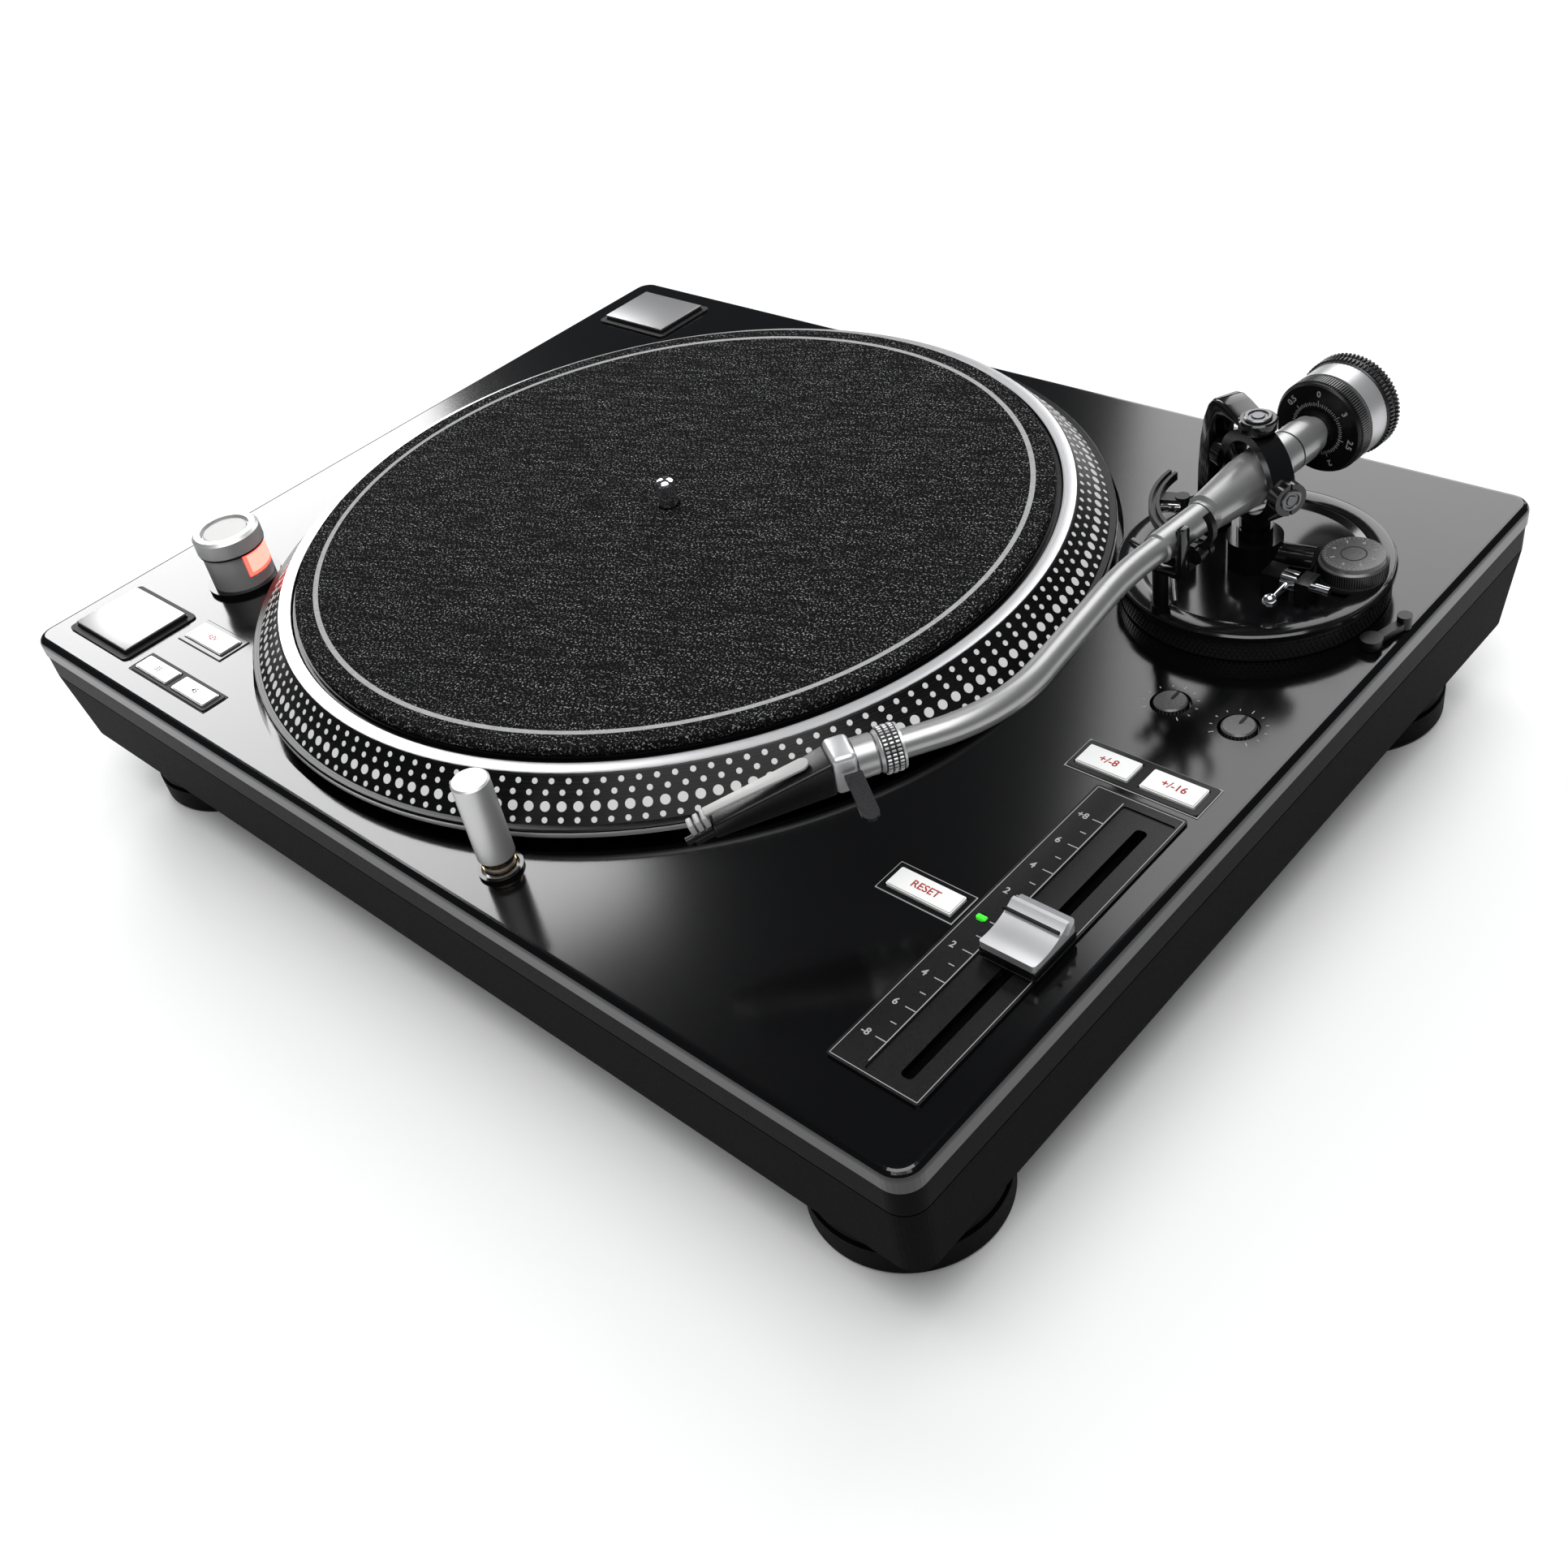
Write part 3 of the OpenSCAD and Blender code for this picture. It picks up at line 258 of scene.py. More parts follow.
def spun(bm, profile, matrix, steps=96, closed=True):
    """A turned solid: (radius, height) points swept about the matrix's Z."""
    new = bmesh.new()
    verts = [new.verts.new((r, 0, z)) for r, z in profile]
    pairs = list(zip(verts, verts[1:])) + ([(verts[-1], verts[0])] if closed else [])
    edges = [new.edges.new(p) for p in pairs]
    bmesh.ops.spin(new, geom=verts + edges, cent=(0, 0, 0), axis=(0, 0, 1),
                   angle=math.tau, steps=steps, use_merge=True)
    bmesh.ops.remove_doubles(new, verts=new.verts, dist=1e-4)
    bmesh.ops.recalc_face_normals(new, faces=new.faces)
    add(bm, new, matrix)


def add(bm, new, matrix):
    """Moves a finished small mesh into place and joins it to bm."""
    mesh = bpy.data.meshes.new("part")
    bmesh.ops.transform(new, matrix=matrix, verts=new.verts)
    new.to_mesh(mesh)
    new.free()
    bm.from_mesh(mesh)
    bpy.data.meshes.remove(mesh)


def block(bm, size, matrix, bevel=0.0, segments=2):
    """A box centred on the matrix, with its edges rounded."""
    new = bmesh.new()
    bmesh.ops.create_cube(new, size=1.0, matrix=Matrix.Diagonal((*size, 1)))
    if bevel:
        bmesh.ops.bevel(new, geom=list(new.edges), offset=bevel, segments=segments,
                        profile=0.5, affect="EDGES", material=-1)
    add(bm, new, matrix)


def rod(bm, radius, length, matrix, steps=32):
    """A round bar standing on the matrix's Z = 0."""
    new = bmesh.new()
    bmesh.ops.create_cone(new, cap_ends=True, segments=steps, radius1=radius,
                          radius2=radius, depth=length)
    add(bm, new, matrix @ at(z=length / 2))


def bar(bm, outline, thickness, matrix, bevel=0.0, segments=3):
    """A flat outline in the matrix's XZ plane, as thick as said along Y, with rounded edges."""
    new = bmesh.new()
    face = new.faces.new([new.verts.new((x, -thickness / 2, z)) for x, z in outline])
    out = bmesh.ops.extrude_face_region(new, geom=[face])
    moved = [g for g in out["geom"] if isinstance(g, bmesh.types.BMVert)]
    bmesh.ops.translate(new, verts=moved, vec=(0, thickness, 0))
    bmesh.ops.recalc_face_normals(new, faces=new.faces)
    if bevel:
        rims = [e for e in new.edges if abs(e.verts[0].co.y - e.verts[1].co.y) < 1e-6]
        bmesh.ops.bevel(new, geom=rims, offset=bevel, segments=segments, profile=0.5,
                        affect="EDGES", material=-1)
    add(bm, new, matrix)


def text(bm, words, size, matrix, thick=0.06):
    """Printed figures, centred on the matrix and read along its X."""
    curve = bpy.data.curves.new("figures", "FONT")
    curve.body, curve.size, curve.extrude = words, size, thick / 2
    curve.offset = size * 0.018
    curve.align_x, curve.align_y, curve.resolution_u = "CENTER", "CENTER", 3
    obj = bpy.data.objects.new("figures", curve)
    bpy.context.scene.collection.objects.link(obj)
    bpy.context.view_layer.update()
    mesh = bpy.data.meshes.new_from_object(obj.evaluated_get(bpy.context.evaluated_depsgraph_get()))
    mesh.transform(matrix)
    bm.from_mesh(mesh)
    bpy.data.objects.remove(obj)
    bpy.data.meshes.remove(mesh)
    bpy.data.curves.remove(curve)


def arc(bm, inner, outer, low, high, half, matrix, steps=24):
    """Part of a ring, as wide as said either side of the matrix's X."""
    new = bmesh.new()
    ends = [new.verts.new((r, 0, z)) for r, z in ring_outline(inner, outer, low, high)]
    edges = [new.edges.new(p) for p in zip(ends, ends[1:] + ends[:1])]
    bmesh.ops.spin(new, geom=ends + edges, cent=(0, 0, 0), axis=(0, 0, 1),
                   angle=math.radians(2 * half), steps=steps)
    bmesh.ops.holes_fill(new, edges=list(new.edges), sides=4)
    bmesh.ops.recalc_face_normals(new, faces=new.faces)
    add(bm, new, matrix @ turn(-half))


def ring_outline(inner, outer, low, high):
    """Section of a plain ring: two radii and two heights."""
    return [(inner, low), (outer, low), (outer, high), (inner, high)]


def piece(name, bm, material, body, smooth=35.0, hides=()):
    """Turns a millimetre bmesh into a piece that rides on a body."""
    bmesh.ops.scale(bm, vec=(MM, MM, MM), verts=bm.verts)
    mesh = bpy.data.meshes.new(name)
    bm.to_mesh(mesh)
    bm.free()
    obj = bpy.data.objects.new(name, mesh)
    bpy.context.scene.collection.objects.link(obj)
    mesh.materials.append(FINISHES[material])
    mesh.shade_smooth()
    mesh.set_sharp_from_angle(angle=math.radians(smooth))
    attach(obj, body)
    if hides:
        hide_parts(*hides)
    return obj


def dress(node, material):
    """Gives a CAD node its finish."""
    slots = frame["nodes"][node].data.materials
    slots.clear()
    slots.append(FINISHES[material])


# ---- sizes and colours --------------------------------------------------------

class TurntableSettings(bpy.types.PropertyGroup):
    """What a user would change on the turntable's looks."""

    deck_colour: FloatVectorProperty(
        name="Deck", description="Colour of the lacquered deck", subtype="COLOR",
        default=(0.0015, 0.0015, 0.0018))
    silver: FloatVectorProperty(
        name="Silver", description="Colour of the satin silver parts", subtype="COLOR",
        default=(0.4, 0.4, 0.4))
    print_colour: FloatVectorProperty(
        name="Print", description="Colour of the printed marks", subtype="COLOR",
        default=(0.62, 0.62, 0.61))
    felt_fleck: FloatVectorProperty(
        name="Felt fleck", description="Colour of the pale fibres in the slipmat",
        subtype="COLOR", default=(0.3, 0.3, 0.3))
    lens_glow: FloatProperty(
        name="Lens glow", description="Strength of the red strobe light", default=8.0, min=0.0)
    led_glow: FloatProperty(
        name="Lamp glow", description="Strength of the green centre lamp", default=0.7, min=0.0)
    large_dot: FloatProperty(
        name="Large dot", description="Radius of a dot in the nominal-speed row, in mm",
        default=1.72, min=0.5, max=2.5)
    small_dot: FloatProperty(
        name="Small dot", description="Radius of a dot in the other rows, in mm",
        default=1.02, min=0.3, max=2.0)
    dots: IntProperty(
        name="Dots", description="Dots round the nominal-speed row", default=180, min=60)
    lens: FloatProperty(
        name="Lens", description="Focal length on a 36 mm sensor", default=37.84, unit="CAMERA")
    floor_colour: FloatVectorProperty(
        name="Floor", description="Colour of the floor", subtype="COLOR",
        default=(0.88, 0.88, 0.88))


def settings():
    """The sizes and colours that the panel shows."""
    return bpy.context.scene.turntable_settings


class TURNTABLE_OT_stage(bpy.types.Operator):
    """Adds the camera, the pale floor and the soft studio lights"""

    bl_idname = "turntable.stage"
    bl_label = "Stage"

    def execute(self, context):
        scene = context.scene
        camera = bpy.data.cameras.new("camera")
        camera.lens, camera.sensor_width = settings().lens, 36.0
        camera.clip_start, camera.clip_end = 0.01, 100.0
        eye = bpy.data.objects.new("camera", camera)
        azimuth, elevation, roll = (math.radians(a) for a in (AZIMUTH, ELEVATION, ROLL))
        ahead = Vector((-math.sin(azimuth) * math.cos(elevation),
                        math.cos(azimuth) * math.cos(elevation), -math.sin(elevation)))
        right = ahead.cross(Vector((0, 0, 1))).normalized()
        up = right.cross(ahead)
        rolled = right * math.cos(roll) + up * math.sin(roll)
        over = rolled.cross(ahead)
        eye.matrix_world = Matrix(
            [(rolled[i], over[i], -ahead[i], CAMERA_PLACE[i]) for i in range(3)] + [(0, 0, 0, 1)])
        scene.collection.objects.link(eye)
        scene.camera = eye

        shaded("floor_white", settings().floor_colour, 0.9)
        mesh = bpy.data.meshes.new("floor")
        floor = bmesh.new()
        bmesh.ops.create_grid(floor, x_segments=1, y_segments=1, size=FLOOR_HALF)
        floor.to_mesh(mesh)
        floor.free()
        mesh.materials.append(FINISHES["floor_white"])
        ground = bpy.data.objects.new("floor", mesh)
        scene.collection.objects.link(ground)

        world = bpy.data.worlds.new("studio")
        world.use_nodes = True
        sky = world.node_tree.nodes["Background"].inputs
        sky["Color"].default_value, sky["Strength"].default_value = SKY_COLOUR, SKY_STRENGTH
        scene.world = world
        for box in SOFTBOXES:
            self.softbox(*box)
        scene.view_settings.view_transform = "Standard"
        return {"FINISHED"}

    def softbox(self, name, place, aim, size, power):
        """A rectangular light, turned to its aim."""
        light = bpy.data.lights.new(name, "AREA")
        light.shape, light.size, light.size_y, light.energy = "RECTANGLE", *size, power
        obj = bpy.data.objects.new(name, light)
        obj.location = place
        obj.rotation_euler = (Vector(aim) - Vector(place)).to_track_quat("-Z", "Y").to_euler()
        bpy.context.scene.collection.objects.link(obj)


class TURNTABLE_OT_finishes(bpy.types.Operator):
    """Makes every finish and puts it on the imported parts"""

    bl_idname = "turntable.finishes"
    bl_label = "Finishes"

    def execute(self, context):
        s = settings()
        silver, deck = tuple(s.silver), tuple(s.deck_colour)
        finish("deck_lacquer", deck, 0.13, grain=2600, depth=0.006, spread=0.04, mottle=0.2,
               wear=14, Specular_IOR_Level=0.55)
        finish("band_satin", (0.003, 0.003, 0.0035), 0.3, grain=1800, depth=0.02,
               Specular_IOR_Level=0.015)
        finish("base_rubber", (0.003, 0.003, 0.0033), 0.48, grain=1500, depth=0.03, mottle=0.2,
               Specular_IOR_Level=0.008)
        finish("foot_rubber", (0.003, 0.003, 0.003), 0.6, grain=900, depth=0.05, mottle=0.25,
               Specular_IOR_Level=0.05)
        felt_finish("felt", (0.0035, 0.0035, 0.0038), tuple(s.felt_fleck))
        finish("felt_print", (0.3, 0.3, 0.3), 0.95, grain=1500, depth=0.15, mottle=0.3, wear=700)
        turned_finish("platter_lacquer", (0.002, 0.002, 0.0023), 0.3, 0.0, SPINDLE,
                      Specular_IOR_Level=0.25)
        turned_finish("platter_bright", (0.6, 0.6, 0.61), 0.36, 0.6, SPINDLE)
        finish("satin_silver", silver, 0.36, 0.78, grain=3000, depth=0.004, mottle=0.04)
        finish("bright_silver", (0.58, 0.58, 0.59), 0.36, 0.66, grain=2600, depth=0.004,
               mottle=0.04)
        finish("brushed_silver", (0.6, 0.6, 0.6), 0.42, 0.66, grain=1400, depth=0.006,
               mottle=0.06, stretch=(1, 1, 14))
        finish("key_silver", (0.42, 0.42, 0.425), 0.36, 0.75, grain=1400, depth=0.002, mottle=0.03)
        finish("strip_silver", (0.36, 0.36, 0.355), 0.5, 0.3, grain=2000, depth=0.003,
               mottle=0.05)
        finish("nut_steel", (0.13, 0.13, 0.135), 0.28, 0.85, grain=1800, depth=0.004)
        finish("knurl_black", (0.012, 0.012, 0.0125), 0.3, grain=1700, depth=0.01, mottle=0.2)
        finish("lift_steel", (0.04, 0.04, 0.042), 0.3, 0.8, grain=2200, depth=0.004)
        finish("print_dark", (0.02, 0.02, 0.02), 0.5, grain=1200, depth=0.004, mottle=0.1)
        finish("chrome", (0.78, 0.78, 0.8), 0.09, 1.0, grain=900, depth=0.001, mottle=0.03,
               spread=0.03)
        finish("steel", (0.42, 0.42, 0.43), 0.3, 1.0, grain=1200, depth=0.01)
        finish("gloss_black", (0.004, 0.004, 0.0045), 0.13, grain=1600, depth=0.004, spread=0.03,
               mottle=0.2)
        finish("satin_black", (0.0035, 0.0035, 0.004), 0.32, grain=1700, depth=0.02, mottle=0.2,
               Specular_IOR_Level=0.3)
        finish("matte_black", (0.006, 0.006, 0.0065), 0.5, grain=1500, depth=0.03, mottle=0.25)
        # Matte black for slots, bezels, key edges, lines and grooves; also painted shade: the dark ring under the
        # power knob and the dark core between the collar's knurl ribs.
        finish("slot_black_and_shade", (0.0015, 0.0015, 0.0015), 0.6, grain=1500, depth=0.01)
        # Grey for the trim knobs and anti-skate dial; also a painted highlight on the ribs of the black force
        # scale's rim.
        finish("dial_grey", (0.11, 0.11, 0.112), 0.3, 0.5, grain=1500, depth=0.01)
        finish("white_key", (0.78, 0.775, 0.76), 0.35, grain=1500, depth=0.008, mottle=0.03,
               Subsurface_Weight=0.05)
        finish("print_white", tuple(s.print_colour), 0.5, grain=1200, depth=0.004, mottle=0.06)
        finish("print_grey", (0.32, 0.32, 0.32), 0.5, grain=1200, depth=0.004, mottle=0.06)
        finish("print_red", (0.3, 0.001, 0.002), 0.6, grain=1200, depth=0.004, mottle=0.06)
        finish("brass", (0.42, 0.3, 0.16), 0.25, 1.0, grain=1500, depth=0.008)
        finish("copper", (0.55, 0.22, 0.1), 0.35, 1.0, grain=900, depth=0.05,
               stretch=(1, 1, 6))
        finish("board", (0.01, 0.07, 0.03), 0.4, grain=700, depth=0.02)
        finish("iron", (0.12, 0.12, 0.125), 0.5, 0.7, grain=900, depth=0.03)
        finish("lens_red", (0.9, 0.06, 0.04), 0.2, grain=700, depth=0.004,
               Emission_Color=(1.0, 0.03, 0.022, 1), Emission_Strength=s.lens_glow)
        finish("lens_hot", (0.9, 0.2, 0.15), 0.2, grain=700, depth=0.004,
               Emission_Color=(1.0, 0.2, 0.16, 1), Emission_Strength=s.lens_glow * 0.35)
        finish("led_green", (0.02, 0.4, 0.02), 0.3, grain=900, depth=0.002,
               Emission_Color=(0.06, 0.75, 0.03, 1), Emission_Strength=s.led_glow)
        by_finish = {
            "deck_lacquer": "top_plate", "band_satin": "mid_band", "base_rubber": "lower_base",
            "matte_black": "fader_track bottom_cover mains_inlet height_ring tactile_switches",
            "steel": "cover_screws transformer bearing_housing",
            "iron": "motor_stator rotor_magnet", "copper": "stator_coils", "board": "main_board",
            "slot_black_and_shade": "start_stop_bezels speed_bezel start_stop_front start_stop_rear",
            "satin_black": "rca_panel range_bezel fader_panel stylus arm_sleeve lock_lever "
                           "scale_ring armrest_post armrest_latch lift_arc cartridge_body",
            "brushed_silver": "power_tower power_knob lamp_barrel",
            "lens_red": "strobe_lens",
            "platter_lacquer": "platter", "felt": "slipmat", "chrome": "spindle cue_lever",
            "key_silver": "reverse_button speed_33_button speed_45_button",
            "white_key": "reset_button range_8_button range_16_button",
            "satin_silver": "arm_tube", "lift_steel": "finger_lift",
            "bright_silver": "fader_cap counterweight locking_collar",
            "dial_grey": "start_trim_knob brake_trim_knob antiskate_dial",
            "foot_rubber": "foot_front_left foot_front_right foot_rear_left foot_rear_right",
            "gloss_black": "lamp_socket arm_base gimbal_arch gimbal_ring",
        }
        for material, nodes in by_finish.items():
            for node in nodes.split():
                dress(node, material)
        bare = set(frame["nodes"]) - {n for v in by_finish.values() for n in v.split()}
        if bare:
            raise RuntimeError(f"no finish for {sorted(bare)}")
        return {"FINISHED"}


class TURNTABLE_OT_platter(bpy.types.Operator):
    """Adds the platter's strobe dots, its bright ring and the slipmat's printed ring"""

    bl_idname = "turntable.platter"
    bl_label = "Platter"

    def execute(self, context):
        s = settings()
        slope = RIM_HEAD - RIM_FOOT
        tilt = 90 - math.degrees(math.atan2(slope.y, -slope.x))
        rows = ((0.1, s.dots + 6, s.small_dot), (0.375, s.dots, s.large_dot),
                (0.655, s.dots - 6, s.small_dot), (0.885, s.dots - 10, s.small_dot))
        dots = bmesh.new()
        for share, count, radius in rows:
            spot = RIM_FOOT + slope * share
            for i in range(count):
                disc = turn(360 * i / count) @ at(spot.x, 0, spot.y) @ turn(90 - tilt, "Y")
                bmesh.ops.create_cone(dots, cap_ends=True, segments=DOT_SIDES,
                                      radius1=radius, radius2=radius - 0.05, depth=DOT_DEPTH,
                                      matrix=ON_SPINDLE @ disc)
        piece("strobe_dots", dots, "print_white", "platter_group")

        ring = bmesh.new()
        spun(ring, [(147.2, 18.5), (152.1, 18.5), (151.95, 18.74), (151.6, 18.82),
                    (147.7, 18.82), (147.3, 18.74)], ON_SPINDLE, ROUND)
        piece("platter_bright_ring", ring, "platter_bright", "platter_group")
        foot = bmesh.new()
        spun(foot, [(164.4, 3.75), (166.06, 3.95), (166.12, 4.3), (166.12, 5.5), (166.0, 5.8),
                    (165.0, 5.8)], ON_SPINDLE, ROUND)
        piece("platter_foot_ring", foot, "platter_bright", "platter_group")
        mat_top = node_box("slipmat")[1].z - DECK
        band = bmesh.new()
        spun(band, ring_outline(*MAT_RING, mat_top - 0.2, mat_top + 0.05), ON_SPINDLE, ROUND)
        piece("slipmat_ring", band, "felt_print", "platter_group")
        tip = bmesh.new()
        top = node_box("spindle")[1].z - DECK
        spun(tip, [(3.62, top - 4.6), (3.66, top - 4.3), (3.66, top - 2.6), (3.3, top - 1.2),
                   (2.2, top - 0.35), (0.9, top + 0.02), (0, top + 0.06), (0, top - 4.6)],
             ON_SPINDLE, 48)
        piece("spindle_tip", tip, "chrome", "platter_group")
        return {"FINISHED"}


class TURNTABLE_OT_controls(bpy.types.Operator):
    """Adds the pitch scale, the key figures, the lamps and the tower's detail"""

    bl_idname = "turntable.controls"
    bl_label = "Controls"

    def execute(self, context):
        panel = node_box("fader_panel")
        top = panel[1].z + 0.02
        marks, figures = bmesh.new(), bmesh.new()
        zero = node_centre("reset_button").y
        for k in range(-8, 9):
            y = zero - SCALE_STEP * k / 2
            long = k % 2 == 0
            block(marks, (LONG_MARK if long else SHORT_MARK, MARK_WIDTH, 0.08),
                  at(LONG_MARK_X if long else SHORT_MARK_X, y, top))
            if long and k:
                sign = {-8: "+", 8: "-"}.get(k, "")
                text(figures, sign + str(abs(k)), 3.4, at(FIGURE_X, y, top))
        block(marks, (0.3, panel[1].y - panel[0].y - 8, 0.08),
              at(SCALE_LINE_X, (panel[0].y + panel[1].y) / 2 + 0.5, top))
        for x in (panel[0].x + 0.9, panel[1].x - 0.9):
            block(marks, (0.22, panel[1].y - panel[0].y - 1.8, PRINT_DEPTH),
                  at(x, (panel[0].y + panel[1].y) / 2, top))
        for y in (panel[0].y + 0.9, panel[1].y - 0.9):
            block(marks, (panel[1].x - panel[0].x - 1.8, 0.22, PRINT_DEPTH),
                  at((panel[0].x + panel[1].x) / 2, y, top))
        piece("pitch_scale_marks", marks, "print_grey", "plinth")
        piece("pitch_scale_figures", figures, "print_grey", "plinth")
        led = bmesh.new()
        block(led, LED_SIZE, at(*LED_PLACE, top - 0.2), 0.4, 3)
        piece("centre_led", led, "led_green", "plinth")

        self.key_figures()
        self.tower()
        self.cap()
        self.trims()
        return {"FINISHED"}

    def key_figures(self):
        """Figures, frames and pale lines of the keys, and the faces of the start/stop keys."""
        for node, words, size, material in (
                ("speed_33_button", "33", 3.4, "print_dark"),
                ("speed_45_button", "45", 3.4, "print_dark"),
                ("reverse_button", "REV", 3.2, "print_red"),
                ("reset_button", "RESET", 3.8, "print_red"),
                ("range_8_button", "+/-8", 4.0, "print_red"),
                ("range_16_button", "+/-16", 4.0, "print_red")):
            bm, centre = bmesh.new(), node_centre(node)
            text(bm, words, size, at(centre.x, centre.y, node_box(node)[1].z + 0.01))
            piece(node + "_figure", bm, material, node)
        frames = bmesh.new()
        for node in ("reset_button", "reverse_button"):
            low, high = node_box(node)
            self.frame(frames, low.x - 0.35, high.x + 0.35, low.y - 0.35, high.y + 0.35, 1.5, 0.5)
        piece("key_frames", frames, "gloss_black", "plinth")
        for side, pair, material in (("right", ("reset_button", "range_bezel"), "print_grey"),
                                     ("left", ("reverse_button", "speed_bezel"), "slot_black_and_shade")):
            lines = bmesh.new()
            for node in pair:
                low, high = node_box(node)
                gap = 1.9 if "button" in node else 0.1
                self.frame(lines, low.x - gap, high.x + gap, low.y - gap, high.y + gap, 0.35, 0.24)
            piece("key_lines_" + side, lines, material, "plinth")
        for node in ("start_stop_front", "start_stop_rear"):
            low, high = node_box(node)
            bm = bmesh.new()
            block(bm, (high.x - low.x - 0.28, high.y - low.y - 0.28, 0.9),
                  at(*((low + high) / 2).xy, high.z - 0.25), 0.3, 3)
            piece(node + "_face", bm, "key_silver", node)

    def frame(self, bm, left, right, near, far, width, height):
        """A thin raised frame on the deck, around a key."""
        middle, z = ((left + right) / 2, (near + far) / 2), DECK + height / 2 - 0.02
        for y in (near - width / 2, far + width / 2):
            block(bm, (right - left + 2 * width, width, height), at(middle[0], y, z))
        for x in (left - width / 2, right + width / 2):
            block(bm, (width, far - near, height), at(x, middle[1], z))

    def tower(self):
        """The power knob's face, the strobe window, the rings of tower and lamp, and a painted shadow ring under
        the knob.
        """
        knob = node_box("power_knob")
        middle = node_centre("power_knob")
        bm = bmesh.new()
        spun(bm, [(0, knob[1].z - 2.2), (9.1, knob[1].z - 2.2), (9.1, knob[1].z - 1.25),
                  (8.7, knob[1].z - 0.85), (0, knob[1].z - 0.85)],
             at(middle.x, middle.y), 96, False)
        piece("power_knob_face", bm, "strip_silver", "power_knob")
        place = at(middle.x, middle.y, DECK)
        facing = math.degrees(math.atan2(SPINDLE.y - middle.y, SPINDLE.x - middle.x))
        bm = bmesh.new()
        arc(bm, 10.7, 12.75, WINDOW_LOW, WINDOW_HIGH, WINDOW_HALF, place @ turn(facing - 6))
        piece("strobe_window", bm, "lens_red", "plinth", hides=["strobe_lens"])
        bm = bmesh.new()
        arc(bm, 12.6, 12.8, 7.9, 15.6, 34, place @ turn(facing - 6))
        piece("strobe_bulb_glow", bm, "lens_hot", "plinth")
        bm = bmesh.new()
        arc(bm, 11.0, 12.65, 2.2, 6.5, 37, place @ turn(facing))
        piece("tower_sill", bm, "brushed_silver", "plinth")
        bm = bmesh.new()
        spun(bm, ring_outline(12.5, 15.05, 0.0, 1.9), place)
        piece("tower_skirt", bm, "gloss_black", "plinth")
        # Painted shadow: a dark ring round the tower just under the power knob, where the knob's shade falls.
        bm = bmesh.new()
        spun(bm, ring_outline(12.5, 13.3, DECK + 16.3, DECK + 17.0), at(middle.x, middle.y))
        piece("tower_shadow_ring", bm, "slot_black_and_shade", "plinth")
        lamp = node_centre("lamp_barrel")
        bm = bmesh.new()
        for z in (1.5, 4.4):
            spun(bm, ring_outline(4.3, 5.4, DECK + z, DECK + z + 1.1), at(lamp.x, lamp.y), 64)
        piece("lamp_rings", bm, "brass", "lamp_barrel")

    def cap(self):
        """The dark line and skirt of the pitch fader's cap."""
        low, high = node_box("fader_cap")
        centre = (low + high) / 2
        bm = bmesh.new()
        block(bm, (high.x - low.x + 0.1, 0.8, 0.8), at(centre.x, centre.y + 2.2, high.z - 0.32))
        block(bm, (high.x - low.x + 0.3, high.y - low.y + 0.3, 3.6),
              at(centre.x, centre.y, DECK + 3.2), 0.5)
        piece("fader_index", bm, "satin_black", "fader_cap")

    def trims(self):
        """Ribs and pointers of the two trim knobs, and the scales round them."""
        marks = bmesh.new()
        for node in ("start_trim_knob", "brake_trim_knob"):
            centre, high = node_centre(node), node_box(node)[1]
            bm = bmesh.new()
            for i in range(TRIM_RIBS):
                block(bm, (0.5, 0.5, 2.4), at(centre.x, centre.y, high.z - 1.7)
                      @ turn(360 * i / TRIM_RIBS) @ at(x=5.35), 0.12, 1)
            block(bm, (0.7, 4.2, 0.2), at(centre.x, centre.y + 2.6, high.z))
            piece(node + "_ribs", bm, "satin_black", node)
            for i in range(TRIM_MARKS):
                angle = TRIM_SWEEP * (i / (TRIM_MARKS - 1) - 0.5)
                block(marks, (0.3, 1.6 if i % 5 == 0 else 0.9, PRINT_DEPTH),
                      at(centre.x, centre.y, DECK + 0.03) @ turn(angle) @ at(y=8.6))
        piece("trim_scales", marks, "print_grey", "plinth")


